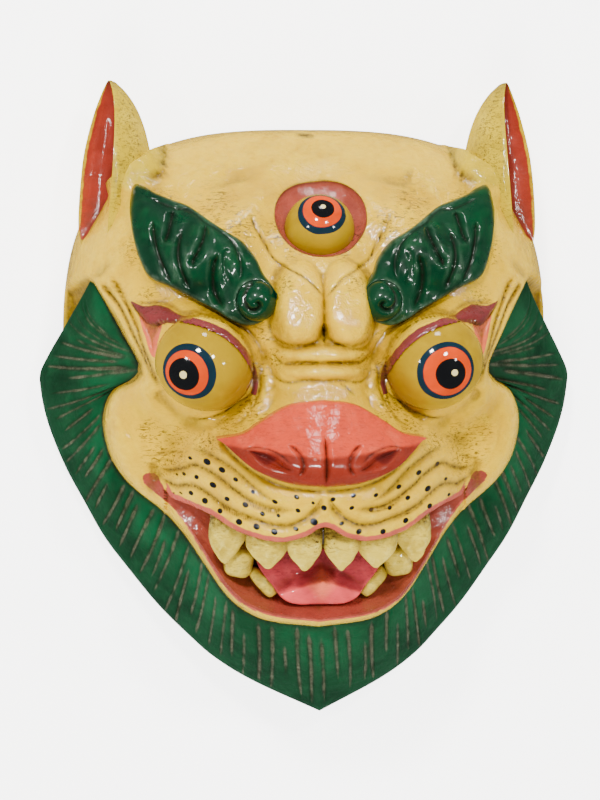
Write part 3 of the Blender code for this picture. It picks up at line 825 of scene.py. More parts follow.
MUZZLE_HALF_WIDTH = 86.0
BALL_TURN = math.radians(52)  # each side eye's longer way, from the horizontal
BALL_STRETCH = (1.07, 0.98)  # how much longer and narrower than a ball it is
DOT_TURN = math.radians(28)
WHISKER_DOTS: tuple[tuple[float, float, float, float], ...] = (  # x, y, radius, stretch
    (-72.4, -26.2, 1.1, 1.5), (-63.1, -27.4, 1.9, 1.3), (-55.1, -31.0, 1.7, 1.3), (-47.9, -35.5, 1.3, 1.3),
    (-38.7, -41.6, 1.2, 1.2), (-27.1, -46.3, 1.4, 1.7), (-15.6, -43.2, 1.4, 1.4),
    (-79.7, -36.1, 0.8, 1.6), (-75.8, -35.3, 1.1, 1.3), (-68.9, -36.2, 1.3, 1.0), (-60.0, -39.6, 1.8, 1.3),
    (-52.5, -46.5, 1.4, 1.1), (-42.7, -48.9, 1.6, 1.2), (-33.6, -53.3, 1.4, 1.2), (-25.2, -53.9, 1.1, 1.2),
    (-14.9, -50.5, 1.3, 1.3), (-6.8, -46.3, 1.0, 1.3), (-0.9, -49.1, 1.6, 1.1),
    (-81.4, -46.8, 0.7, 1.6), (-77.5, -46.2, 0.8, 1.8), (-72.0, -45.4, 1.3, 1.2), (-64.4, -48.9, 1.7, 1.0),
    (-56.3, -53.6, 1.5, 1.0), (-46.1, -58.7, 1.8, 1.1), (-36.8, -60.6, 1.8, 1.1), (-27.2, -63.0, 1.8, 1.1),
    (-15.8, -60.9, 1.4, 1.4), (-6.2, -56.8, 2.1, 1.1),
    (66.7, -29.8, 1.5, 1.2), (54.2, -33.1, 1.6, 1.3), (41.7, -39.7, 1.4, 1.4), (28.1, -43.0, 1.3, 1.3),
    (15.4, -42.7, 1.4, 1.3), (4.0, -44.5, 1.4, 1.2),
    (71.8, -38.7, 1.2, 1.1), (59.7, -42.5, 1.9, 1.2), (47.1, -46.2, 1.4, 1.2), (36.3, -50.8, 1.3, 1.2),
    (25.6, -51.1, 1.3, 1.3), (14.3, -49.4, 1.3, 1.4),
    (73.8, -47.7, 1.1, 1.1), (60.9, -52.3, 1.6, 1.1), (45.9, -58.8, 1.6, 1.2), (32.5, -63.7, 1.6, 1.1),
    (18.6, -62.8, 1.6, 1.2), (8.9, -57.9, 1.3, 1.5))

WORN_PATCHES: tuple[tuple[float, float, float], ...] = (  # x, y and radius, on both sides
    (36, 24, 10), (26, 29, 8), (40, 4, 11), (33, -4, 8), (50, -8, 9), (86, -27, 15), (95, -12, 9),
    (30, 44, 8), (22, 100, 9), (42, 104, 14), (56, 116, 14), (100, 90, 12), (93, 62, 10), (88, 118, 12),
    (80, -15, 9), (89, -14, 6), (64, -18, 9), (20, 72, 7), (14, 88, 6))

HEAD_STROKES: tuple[Stroke, ...] = (
    # Line that frames the third eye and runs down to a V between the pads
    Stroke(((0, 63.4), (4.4, 68.4), (8.7, 73), (12.7, 75.8), (19, 79.4), (26.9, 84.9), (32, 94), (37, 103),
            (41, 112)), 2.4, 1.7, 1.0, axis_x=2.7, taper=0.12),
    # Cleft between the pads, the hollow round them and the crease over the folds
    Stroke(((2.2, 63), (2.3, 56), (2.5, 48), (2.6, 40)), 4.0, 1.8, 0.5, mirror=False, taper=0.08),
    Stroke(((2.4, 51), (2.5, 46), (2.6, 41), (2.6, 36)), 7.0, 3.6, 0.95, mirror=False, taper=0.3),
    Stroke(((20, 84), (26.5, 75), (28.4, 62), (27.6, 50), (23.5, 41)), 6.0, 2.0, 0.3, Blade.GOUGE,
           axis_x=2.2),
    Stroke(((0, 37.2), (8, 37.8), (17, 37.5), (24, 39.5), (28, 44)), 4.4, 2.6, 0.7, axis_x=1.5),
    # Creases of the bridge, turned up and down at their ends
    Stroke(((0, 27.6), (12, 27.3), (20, 27.0), (24, 28.8), (27.5, 32.5)), 3.6, 1.8, 0.75, axis_x=1.0),
    Stroke(((0, 18.6), (10, 18.2), (18, 17.0), (23, 17.6), (27, 21), (28.6, 26)), 3.6, 1.5, 0.7, axis_x=1.0),
    Stroke(((30, 36), (33, 27), (32, 17), (28, 9)), 7.0, 2.2, 0.4, Blade.GOUGE),
    # Folds that pull from the temple down past the eye
    Stroke(((123, 72), (112, 59), (104, 43), (97, 28), (91, 15)), 4.6, 4.2, 0.9, taper=0.1),
    Stroke(((117, 75), (109, 62), (102.6, 48), (98.4, 36), (94, 25), (89, 13)), 4.2, 3.6, 0.9, taper=0.1),
    Stroke(((120, 74), (111, 61), (103.6, 46), (97.8, 32), (91, 16)), 3.6, -3.0, 0.0, Blade.GOUGE, taper=0.1),
    Stroke(((125, 68), (114.6, 54), (107, 40), (100, 25)), 3.6, -2.2, 0.0, Blade.GOUGE, taper=0.1),
    # Corner of the eye
    Stroke(((106.5, 62), (101, 54.6), (96.5, 49.8), (91, 47.7), (87, 49.6)), 2.6, 1.8, 0.75),
    Stroke(((104, 61), (96, 60.3), (88, 60.6), (80, 57.6), (74, 53)), 2.4, 1.1, 0.35),
    # Whisker rolls
    Stroke(((73, -20.6), (66, -21.8), (58.5, -24.8), (51, -28.6), (44.5, -33.4), (39, -38.4), (33, -43.2),
            (26, -46.4)), 5.4, 2.2, 0.75, taper=0.2),
    Stroke(((90, -33), (84, -34.3), (76.5, -32.6), (70.6, -29.9), (65, -31.2), (58, -34.6), (52.5, -38.6),
            (46.5, -42.6), (40, -46.6), (32.5, -49.6), (25, -50.6), (17, -50.3)), 6.2, 3.0, 0.85, taper=0.12),
    Stroke(((44, -46.6), (36, -50.4), (28, -52.2), (20, -51.8)), 2.0, 0.8, 0.9, taper=0.3),
    Stroke(((89, -39), (84.5, -41), (79.6, -42.6), (74.5, -41.5), (69.5, -41.5), (64.5, -43.8), (58.5, -47.6),
            (52, -51.6), (44, -54.8), (36, -57.2), (28, -59.4), (20.5, -59.4), (14.5, -57.4), (9, -54.2),
            (4.2, -49.8), (1.8, -45)), 6.2, 3.0, 0.85, taper=0.08),
    Stroke(((60, -48.4), (52, -53.2), (44, -56.4), (36, -58.8)), 2.0, 0.9, 0.9, taper=0.3),
    Stroke(((12, -55), (7, -50.6), (3.2, -46), (1.4, -42)), 2.0, 0.9, 0.9, taper=0.3),
    # Crease under the nose and the one that parts the cheek from the muzzle
    Stroke(((0, -40.4), (20, -38.6), (36, -32.6), (48, -24), (56, -15)), 4.0, 1.6, 0.75, taper=0.05),
    Stroke(((95, -30), (92, -36), (88.5, -40)), 6.0, 1.6, 0.3, Blade.GOUGE),
    # Foot of the ear, its outer side, and the crease that runs on from it over the temple
    Stroke(((88, 158), (86, 151), (85.4, 144), (87.4, 137), (92.6, 130.6), (99, 127)), 4.8, 3.4, 1.0,
           taper=0.2),
    Stroke(((125, 150), (126.5, 130), (129, 112), (131, 98), (131, 84)), 15.0, 11.0, 0.0, Blade.GOUGE,
           taper=0.5),
    Stroke(((113, 92), (117, 84), (121, 78), (126, 74)), 4.0, 1.4, 0.5),
    # Ridge over the forehead
    Stroke(((-76, 131), (-56, 138.5), (-30, 141.5), (0, 142.5), (30, 141.5), (56, 138.5), (76, 131)),
           5.0, -2.6, 0.0, Blade.GOUGE, taper=0.15, mirror=False),
    # Nail hole, chips and scratches
    Stroke(((-7, 159.4), (-1, 158.8), (4, 159.4)), 3.4, 2.0, 1.0, mirror=False),
    Stroke(((-37, 137.6), (-30, 139.6), (-24, 138.2)), 3.2, 1.0, 0.9, mirror=False, taper=0.4),
    Stroke(((-22, 140), (-17, 141), (-12, 140)), 2.8, 0.8, 0.8, mirror=False, taper=0.4),
    Stroke(((50, 137), (57, 134.6), (62, 131)), 2.8, 0.8, 0.7, mirror=False, taper=0.4),
    Stroke(((9, 17.2), (12, 15.8), (14.6, 13.6), (19, 9.6)), 2.0, 0.8, 1.0, mirror=False, taper=0.3),
    Stroke(((-96, -26.5), (-84, -24.2), (-75.4, -23.2)), 1.8, 0.7, 1.0, mirror=False, taper=0.2),
    Stroke(((-92, -30), (-86, -28.6), (-80, -29.4)), 1.6, 0.5, 0.9, mirror=False, taper=0.2),
    Stroke(((94, -29), (86, -28), (79, -25.5)), 1.7, 0.6, 0.8, mirror=False, taper=0.2),
    # Inner corner of the eye
    Stroke(((31, 30), (33, 22), (33.4, 14), (36, 6), (40, 0)), 4.4, 2.0, 0.85, taper=0.25),
    Stroke(((39, 2), (43, -4), (50, -8)), 3.0, 1.0, 0.6, taper=0.3),
    # Hollow under the eye, beside the cheek
    Stroke(((94, 17), (87, 7), (80, 0), (71, -5), (62, -8)), 10.0, 4.0, 0.0, Blade.GOUGE, taper=0.3),
    Stroke(((37, 14), (40, 9), (45.8, 5.2), (55, -0.8), (65, -4), (74, -3.6)), 2.4, 1.2, 0.9, taper=0.2),
)


@dataclass
class LionHead:
    """The carved head: forehead, cheeks, muzzle, lips and jaw, with the wearer's hollow behind."""

    centre_y: float = 23.0
    half_width: float = 148.0
    rise: float = 141.0
    drop: float = 156.0
    shoulder_power: float = 3.0
    depth: float = 100.0
    dome_power: float = 5.0
    wall_steepness: float = 400.0
    forehead: tuple[float, float, float] = (139.0, 60.0, 0.95)  # y, height and slope
    pole_y: float = 5.0
    rim_width: float = 17.0
    hollow_depth: float = 86.0
    hollow_power: float = 0.75
    edge_rise: float = 42.0
    edge_width: float = 16.0
    edge_slope: float = 3.0
    bed_slope: float = 2.3
    bed_lowest: float = 16.0
    face_share: float = 0.8
    temple_turn: float = 14.0
    mouth_floor: float = 110.0
    lip_dish: float = 17.0
    lip_round: float = 4.5
    slot: tuple[float, float, float] = (27.0, -71.0, 6.0)  # half width, y and half height
    socket: tuple[float, ...] = (3.4, 110.0, 91.0, 26.6, 31.0, 12.5, math.radians(43))  # place, sizes, turn
    cut_top: float = 205.0
    steps: int = 500
    face_rings: int = 142
    wall_rings: int = 10
    hollow_rings: int = 12
    upper_lip: Array = field(init=False)
    lower_lip: Array = field(init=False)
    face_edge: Array = field(init=False)
    eyes: dict[str, tuple[float, float, float, float]] = field(init=False)

    def __post_init__(self) -> None:
        """Work out the curves that the forms share, and read the eyes' places from the frame."""
        self.upper_lip = mirrored(smooth_path(UPPER_LIP, 90))
        self.lower_lip = mirrored(smooth_path(LOWER_LIP, 90))
        right = np.vstack([smooth_path(MANE_INNER[::-1], 60), np.array(TEMPLE_LIMIT, float)])
        self.face_edge = mirrored(right)
        self.eyes = {}
        for word in ("left", "right", "third"):
            low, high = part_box("eyeball_" + word)
            centre = (low + high) / (2 * MM)
            self.eyes[word] = (centre.x, centre.y, centre.z, (high.z - low.z) / (2 * MM))

    # Form

    def outline_ratio(self, x: Array, y: Array) -> Array:
        """How far out places lie.

        Args:
            x, y: Places on the mask.
        Returns:
            0 in the middle of the head and 1 on its back rim.
        """
        rise, wide = y - self.centre_y, np.abs(x) / self.half_width
        power = self.shoulder_power
        upper = (wide ** power + (np.abs(rise) / self.rise) ** power) ** (1 / power)
        return np.where(rise > 0, upper, np.hypot(wide, rise / self.drop))

    def outline_reach(self, angle: Array) -> Array:
        """How far the back rim is.

        Args:
            angle: Directions from the mesh's pole.
        Returns:
            The distance from the pole to the rim.
        """
        low, high = np.zeros_like(angle), np.full_like(angle, 220.0)
        for _ in range(40):
            middle = (low + high) / 2
            inside = self.outline_ratio(middle * np.cos(angle), self.pole_y + middle * np.sin(angle)) < 1
            low, high = np.where(inside, middle, low), np.where(inside, high, middle)
        return (low + high) / 2

    def ceiling(self, x: Array, y: Array) -> tuple[Array, Array]:
        """Where the wearer's hollow is.

        Args:
            x, y: Places on the mask.
        Returns:
            Its height over the rim, and the share of the way from the pole to its edge.
        """
        edge = self.outline_reach(np.arctan2(y - self.pole_y, x)) - self.rim_width
        share = np.hypot(x, y - self.pole_y) / edge
        return self.hollow_depth * np.maximum(1 - np.minimum(share, 1) ** 2, 0) ** self.hollow_power, share

    def face_limit(self, x: Array, y: Array) -> tuple[Array, Array]:
        """Where the face stands out of the mane.

        Args:
            x, y: Places on the mask.
        Returns:
            The distance inside the face's edge and the highest that the face may be there.
        """
        inside, edge_z = edge_terms(x, y, self.face_edge)
        rounding = 1 - np.clip(inside, 0, self.edge_width) / self.edge_width
        limit = edge_z + self.edge_rise * np.sqrt(1 - rounding ** 2)
        limit = limit + np.maximum(inside - self.edge_width, 0) * self.edge_slope
        return inside, np.maximum(limit + np.minimum(inside, 0) * self.bed_slope, self.bed_lowest)

    def plain_height(self, x: Array, y: Array, fine: bool = True) -> Array:
        """Height of the head's front before its relief is cut.

        Args:
            x, y: Places on the mask.
            fine: Whether its small forms count.
        Returns:
            The height in millimetres.
        """
        ratio = np.clip(self.outline_ratio(x, y), 0, 1)
        dome = self.depth * (1 - ratio ** self.dome_power) ** 0.5
        brow_y, brow_z, slope = self.forehead
        height = blend_down(dome, brow_z + slope * (brow_y - y), 5.0)
        for mass in MASSES:
            if fine or not mass.fine:
                height = blend_up(height, mass.height(x, y), mass.blend)
        height = blend_down(height, self.face_limit(x, y)[1], 2.5)
        return np.minimum(height, self.wall_steepness * np.sqrt(np.clip(1 - ratio ** 2, 0, 1)))

    def socket_floor(self, x: Array, y: Array) -> Array:
        """Height of the almond hollow round the third eye.

        Args:
            x, y: Places on the mask.
        Returns:
            The height, and a very great one outside the hollow.
        """
        middle_x, middle_y, middle_z, half_x, half_y, half_z, turn = self.socket
        sine, cosine = math.sin(turn), math.cos(turn)
        dx, dy = x - middle_x, y - middle_y
        a = (sine / half_y) ** 2 + (cosine / half_z) ** 2
        b = dy * sine * cosine * (1 / half_z ** 2 - 1 / half_y ** 2)
        c = (dx / half_x) ** 2 + dy ** 2 * ((cosine / half_y) ** 2 + (sine / half_z) ** 2) - 1
        root = b ** 2 - a * c
        return np.where(root > 0, middle_z + (-b - np.sqrt(np.maximum(root, 0))) / a, 300.0)

    def lid_terms(self, x: Array, y: Array) -> tuple[Array, Array, Array]:
        """Where places lie beside the upper lid's edge.

        Args:
            x, y: Places on the mask.
        Returns:
            The distance to it, whether a place is past it, and the share along it.
        """
        lid = smooth_path(LID_EDGE, 60)
        gap, side, along = path_distance(np.abs(x), y, lid)
        return gap, side < 0, along

    def ball_height(self, x: Array, y: Array) -> Array:
        """Height of the eyeballs' fronts.

        Args:
            x, y: Places on the mask.
        Returns:
            The height, and 0 away from the balls.
        """
        centre_x, centre_y, centre_z, radius = self.eyes["right"]
        dx, dy = np.abs(x) - centre_x, y - centre_y
        along = dx * math.cos(BALL_TURN) + dy * math.sin(BALL_TURN)
        across = dy * math.cos(BALL_TURN) - dx * math.sin(BALL_TURN)
        reach = (along / (radius * BALL_STRETCH[0])) ** 2 + (across / (radius * BALL_STRETCH[1])) ** 2
        return np.where(reach < 1, centre_z + radius * np.sqrt(np.maximum(1 - reach, 0)), 0.0)

    def carved_height(self, x: Array, y: Array, with_socket: bool = True) -> tuple[Array, Array]:
        """Height of the head's front with its relief.

        Args:
            x, y: Places on the mask.
            with_socket: Whether the hollow round the third eye is cut already.
        Returns:
            The height and the dirt that has gathered, from 0 to 1.
        """
        height = self.plain_height(x, y)
        cut, dirt = carve(x, y, HEAD_STROKES)
        inside = self.face_limit(x, y)[0]
        skin = ramp(inside, 0, 6)
        lowest = np.minimum(height, 10)
        height = height - cut * skin + skin * (0.35 * ripples(x, y, 26, 3) + 0.16 * ripples(x, y, 9, 4))
        height = np.maximum(height, lowest)
        height = self._shape_lids(x, y, height)
        socket = self.socket_floor(x, y)
        dirt = np.maximum(dirt, 0.5 * ramp(height - socket, -2.5, 0) * ramp(socket - height, -3, -1))
        if with_socket:
            height = np.minimum(height, socket)
        return self._round_lip(x, y, height), dirt

    def _shape_lids(self, x: Array, y: Array, height: Array) -> Array:
        """Raise the upper lids over the balls and sink the skin under the part that shows.

        Args:
            x, y: Places on the mask.
            height: The skin's height so far.
        Returns:
            The new height.
        """
        gap, past, along = self.lid_terms(x, y)
        ball = self.ball_height(x, y)
        swell = ramp(along, 0.18, 0.5) * (1 - 0.4 * ramp(along, 0.8, 1.0))
        ridge = 4.6 * swell * np.exp(-((gap - 4.6) / 3.6) ** 2)
        crease = 2.8 * swell * np.exp(-((gap - 11.2) / 2.6) ** 2)
        height = np.where(past, height + ridge - crease, height)
        over_ball = ball + 2.2 * np.sqrt(np.clip(gap / 2.0, 0, 1))
        height = np.where(past & (ball > 0) & (gap < 12), np.maximum(height, over_ball), height)
        fold = zone_depth(np.abs(x), y, LID_FOLD)
        height = height + 3.0 * np.sqrt(np.clip(fold / 4.0, 0, 1))
        flesh = zone_depth(np.abs(x), y, EYE_FLESH)
        height = height - 2.6 * ramp(flesh, 0, 3.5)
        return np.where(~past & (ball > 0), np.minimum(height, ball - 1.2), height)

    def _round_lip(self, x: Array, y: Array, height: Array) -> Array:
        """Round the muzzle's lower edge, where the pink of the lip is.

        Args:
            x, y: Places on the mask.
            height: The skin's height so far.
        Returns:
            The new height.
        """
        gap, side, _ = path_distance(x, y, self.upper_lip)
        share = np.clip(1 - gap * (side > 0) / self.lip_round, 0, 1)
        rounding = self.lip_round * (1 - np.sqrt(1 - share ** 2)) * 0.55
        return height - np.where(np.abs(x) < MUZZLE_HALF_WIDTH, rounding, 0)

    def floor_height(self, x: Array, y: Array) -> Array:
        """Height of the hollow lower lip and the floor of the mouth.

        Args:
            x, y: Places on the mask.
        Returns:
            The height in millimetres.
        """
        inside, edge_z = edge_terms(x, y, self.lower_lip)
        share = 1 - np.clip(inside, 0, self.lip_dish) / self.lip_dish
        nibble = 0.35 * ripples(x, y, 6, 11) * ramp(share, 0.6, 1)
        return self.mouth_floor + (edge_z + 1.0 - self.mouth_floor) * share ** 1.6 + nibble

    # Mesh

    def edge_reach(self, angle: Array) -> Array:
        """How far the ring is that parts the face from the side wall.

        Args:
            angle: Directions from the mesh's pole.
        Returns:
            The distance from the pole.
        """
        right = np.arctan2(np.sin(angle), np.abs(np.cos(angle)))
        edge = smooth_path(MANE_INNER[::-1], 60)
        bearing = np.arctan2(edge[:, 1] - self.pole_y, edge[:, 0])
        beside_mane = np.interp(right, bearing, np.hypot(edge[:, 0], edge[:, 1] - self.pole_y))
        above = self.face_share * self.outline_reach(angle)
        share = np.clip((right - bearing[-1]) / math.radians(self.temple_turn), 0, 1)
        return beside_mane + (above - beside_mane) * share

    def place(self, around: Array, along: Array) -> Array:
        """Places of the head's skin: over the face, down the wall, round the rim and into the hollow.

        Args:
            around: Share round the pole.
            along: Share from the face's middle to the hollow's.
        Returns:
            A row for each place.
        """
        angle = 2 * math.pi * around
        outer = self.face_rings + self.wall_rings
        number = np.rint(along * (outer + 1 + self.hollow_rings))
        edge, reach = self.edge_reach(angle), self.outline_reach(angle)
        wall_share = np.clip((number - self.face_rings) / self.wall_rings, 0, 1)
        wall = edge + (reach - edge) * (1 - (1 - wall_share) ** 2)
        inner_number = np.clip(number - outer - 1, 0, self.hollow_rings)
        inner_share = np.cos(math.pi / 2 * inner_number / self.hollow_rings)
        inner = (reach - self.rim_width) * inner_share
        radius = np.where(number <= self.face_rings, edge * number / self.face_rings,
                          np.where(number <= outer, wall, inner))
        x, y = radius * np.cos(angle), self.pole_y + radius * np.sin(angle)
        gouged = 0.5 * ripples(x, y, 16, 21) * np.sin(math.pi * np.clip(inner_share, 0, 1))
        hollow = self.hollow_depth * np.maximum(1 - inner_share ** 2, 0) ** self.hollow_power + gouged
        z = np.where(number > outer, hollow, self.carved_height(x, y, with_socket=False)[0])
        z = np.where(np.abs(number - outer - 0.5) < 1, 0.0, z)
        return np.column_stack([x, y, z])

    def mouth_tool(self) -> Form:
        """The block that opens the mouth.

        Returns:
            A closed form between the lips, from over the muzzle to the mouth's floor.
        """

        def over(s: Array, t: Array) -> Array:
            """Its flat top over the muzzle."""
            x, y = between(self.upper_lip, self.lower_lip, s, t)
            return np.column_stack([x, y, np.full_like(x, self.cut_top)])

        def under(s: Array, t: Array) -> Array:
            """Its underside, which leaves the lip and the floor."""
            x, y = between(self.upper_lip, self.lower_lip, s, t)
            return np.column_stack([x, y, self.floor_height(x, y)])

        return pad(240, 44, over, under)

    def socket_tool(self) -> Form:
        """The tool that hollows the forehead.

        Returns:
            A flat, tilted ball round the third eye.
        """
        x, y, z, half_x, half_y, half_z, turn = self.socket
        form = new_ball(144, 72)
        bmesh.ops.scale(form, vec=(half_x, half_y, half_z), verts=form.verts)
        bmesh.ops.rotate(form, cent=(0, 0, 0), matrix=Matrix.Rotation(-turn, 3, "X"), verts=form.verts)
        bmesh.ops.translate(form, vec=(x, y, z), verts=form.verts)
        return form

    def slot_tool(self) -> Form:
        """The tool that opens the breathing slot.

        Returns:
            A block through the back of the mouth.
        """
        half_width, y, half_height = self.slot
        form = bmesh.new()
        bmesh.ops.create_cube(form, size=2)
        bmesh.ops.scale(form, vec=(half_width, half_height, 40), verts=form.verts)
        bmesh.ops.translate(form, vec=(0, y, self.mouth_floor - 20), verts=form.verts)
        return form

    def make(self, coat: Material) -> Object:
        """Build, open and paint the head.

        Args:
            coat: Its enamel.
        Returns:
            The finished piece.
        """
        rings = self.face_rings + self.wall_rings + 1 + self.hollow_rings
        blank = to_object("lion_head", shaped_grid(self.steps, rings, self.place))
        tools = [to_object("mouth_tool", self.mouth_tool()), to_object("slot_tool", self.slot_tool()),
                 to_object("socket_tool", self.socket_tool())]
        for tool in tools:
            change = blank.modifiers.new(tool.name, "BOOLEAN")
            change.object = tool
            change.solver = "EXACT"
        opened = bpy.data.meshes.new_from_object(
            blank.evaluated_get(bpy.context.evaluated_depsgraph_get()))
        blank.modifiers.clear()
        blank.data = opened
        opened.name = "lion_head"
        for tool in tools:
            bpy.data.objects.remove(tool)
        self.paint(blank)
        dress(blank, coat, ["head_shell"], 50)
        return blank

    def paint(self, made: Object) -> None:
        """Store where each colour, the dirt and the painted shade lie.

        Args:
            made: The opened head.
        """
        x, y, z = mesh_places(made)
        skin, dirt = self.carved_height(x, y)
        below = skin - z
        ceiling, share = self.ceiling(x, y)
        inside_back = (z < ceiling + 2.5) & (share < 1) & (below > 3)
        lip_gap, lip_side, _ = path_distance(x, y, self.upper_lip)
        edge_gap = path_distance(x, y, self.lower_lip)[0]
        opening = np.vstack([mirrored(smooth_path(UPPER_LIP, 24)),
                             mirrored(smooth_path(LOWER_LIP, 24))[::-1]])
        open_depth = zone_depth(x, y, opening[:, :2])
        in_mouth = open_depth > -0.2
        on_muzzle = (lip_side > 0) & (np.abs(x) < MUZZLE_HALF_WIDTH)
        lid_gap, past, along = self.lid_terms(x, y)
        lid_width = 4.3 * np.sin(math.pi * np.clip(along, 0.03, 0.96)) ** 0.4
        lid = np.where(past, lid_width, 1.2) - lid_gap
        on_lid = (along > 0.002) & (along < 0.998) & (lid_gap < 8)
        store(made, "lid", np.maximum(np.where(on_lid, lid, -8.0), zone_depth(np.abs(x), y, LID_FOLD)))
        store(made, "flesh", zone_depth(np.abs(x), y, EYE_FLESH))
        store(made, "ear_foot", zone_depth(np.abs(x), y, EAR_FOOT))
        socket = self.socket_floor(x, y)
        store(made, "socket", self.plain_height(x, y) - socket - 0.5)
        store(made, "lip", np.where(in_mouth, 5.0, np.where(on_muzzle, 3.2 - lip_gap, -5.0)))
        corner = ramp(np.abs(x), 80, 90)
        store(made, "mouth", np.minimum(open_depth + 0.3, edge_gap - 0.7 * (1 - corner)))
        store(made, "wood", np.where(inside_back | (z < 0.6), 5.0, -5.0))
        dots = np.full(x.shape, -9.0)
        for spot_x, spot_y, size, stretch in WHISKER_DOTS:
            tilt = math.copysign(DOT_TURN, spot_x)
            dx, dy = x - spot_x, y - spot_y
            wide = dx * math.cos(tilt) + dy * math.sin(tilt)
            tall = dy * math.cos(tilt) - dx * math.sin(tilt)
            dots = np.maximum(dots, size - np.hypot(wide / stretch ** 0.5, tall * stretch ** 0.5))
        store(made, "dots", np.where(below < 1.5, dots, -9.0))
        worn = np.full(x.shape, 0.12)
        for spot_x, spot_y, radius in WORN_PATCHES:
            gap = np.hypot(np.abs(x) - spot_x, y - spot_y)
            worn = np.maximum(worn, ramp(gap, 1.3 * radius, 0.3 * radius))
        # Painted shade that darkens the mouth towards its depth
        mouth_depth_shade = ramp(below, 8, 30) * 0.35 * in_mouth
        in_socket = ramp(self.plain_height(x, y) - socket, -2, 0.5)
        under_ball = 0.7 * (self.ball_height(x, y) > 0)
        # Dirt and painted shade in the carved lines and hollows, none in the socket and less under the balls
        shade_and_weather(made, np.maximum(np.where(below < 2, dirt, 0), mouth_depth_shade), 30, 0.8, 0.45,
                np.maximum(in_socket, under_ball), np.where(below < 1.5, worn, 0.0))


# Pieces on the head


@dataclass
class EyeBall:
    """A glossy ball with a painted iris that looks slightly outwards."""

    head: LionHead
    word: str
    gaze: tuple[float, float]  # how far the iris's middle lies from the ball's middle, across and up
    rings: Points  # radius and shift, across and up, of the blue, orange, black and dot

    def make(self, coat: Material) -> Object:
        """Build and paint the ball.

        Args:
            coat: Its enamel.
        Returns:
            The finished piece.
        """
        centre_x, centre_y, centre_z, radius = self.head.eyes[self.word]
        form = new_ball(112, 56, radius)
        side = 0 if self.word == "third" else math.copysign(1, centre_x)
        if side:
            turn = Matrix.Rotation(side * BALL_TURN, 3, "Z")
            bmesh.ops.scale(form, vec=(*BALL_STRETCH, 1.0), verts=form.verts)
            bmesh.ops.rotate(form, cent=(0, 0, 0), matrix=turn, verts=form.verts)
            for vert in form.verts:
                vert.co.y *= 0.9 if vert.co.y < 0 else 1.0
        bmesh.ops.translate(form, vec=(centre_x, centre_y, centre_z), verts=form.verts)
        made = to_object("eyeball_" + self.word + "_painted", form)
        x, y, z = mesh_places(made)
        rays = np.column_stack([x - centre_x, y - centre_y, z - centre_z])
        rays /= np.linalg.norm(rays, axis=1)[:, None]
        sway = 0.35 * ripples(8 * rays[:, 0], 8 * rays[:, 1], 6, len(self.word))
        for (size, right, up), colour in zip(self.rings, ("blue", "orange", "black", "dot")):
            aim = np.array([self.gaze[0] + right, self.gaze[1] + up, 0.0])
            aim[2] = math.sqrt(radius ** 2 - aim[0] ** 2 - aim[1] ** 2)
            arc = radius * np.arccos(np.clip(rays @ aim / radius, -1, 1))
            store(made, colour, np.where(z > centre_z - 5, size - arc + sway, -9))
        inner = -side * (x - centre_x) / radius if side else np.zeros_like(x)
        amber = ramp(0.75 * inner - 0.45 * (y - centre_y) / radius, 0.25, 1.0) if side else 0 * x
        store(made, "amber", amber)
        over_skin = np.maximum(z - self.head.carved_height(x, y)[0], 0)
        # Painted shade and dirt where the ball sinks into the skin, more on its amber side
        store(made, "grime_and_shade", 0.9 * np.exp(-over_skin / 1.2) * (0.6 + 0.4 * amber))
        dress(made, coat, ["eyeball_" + self.word])
        return made


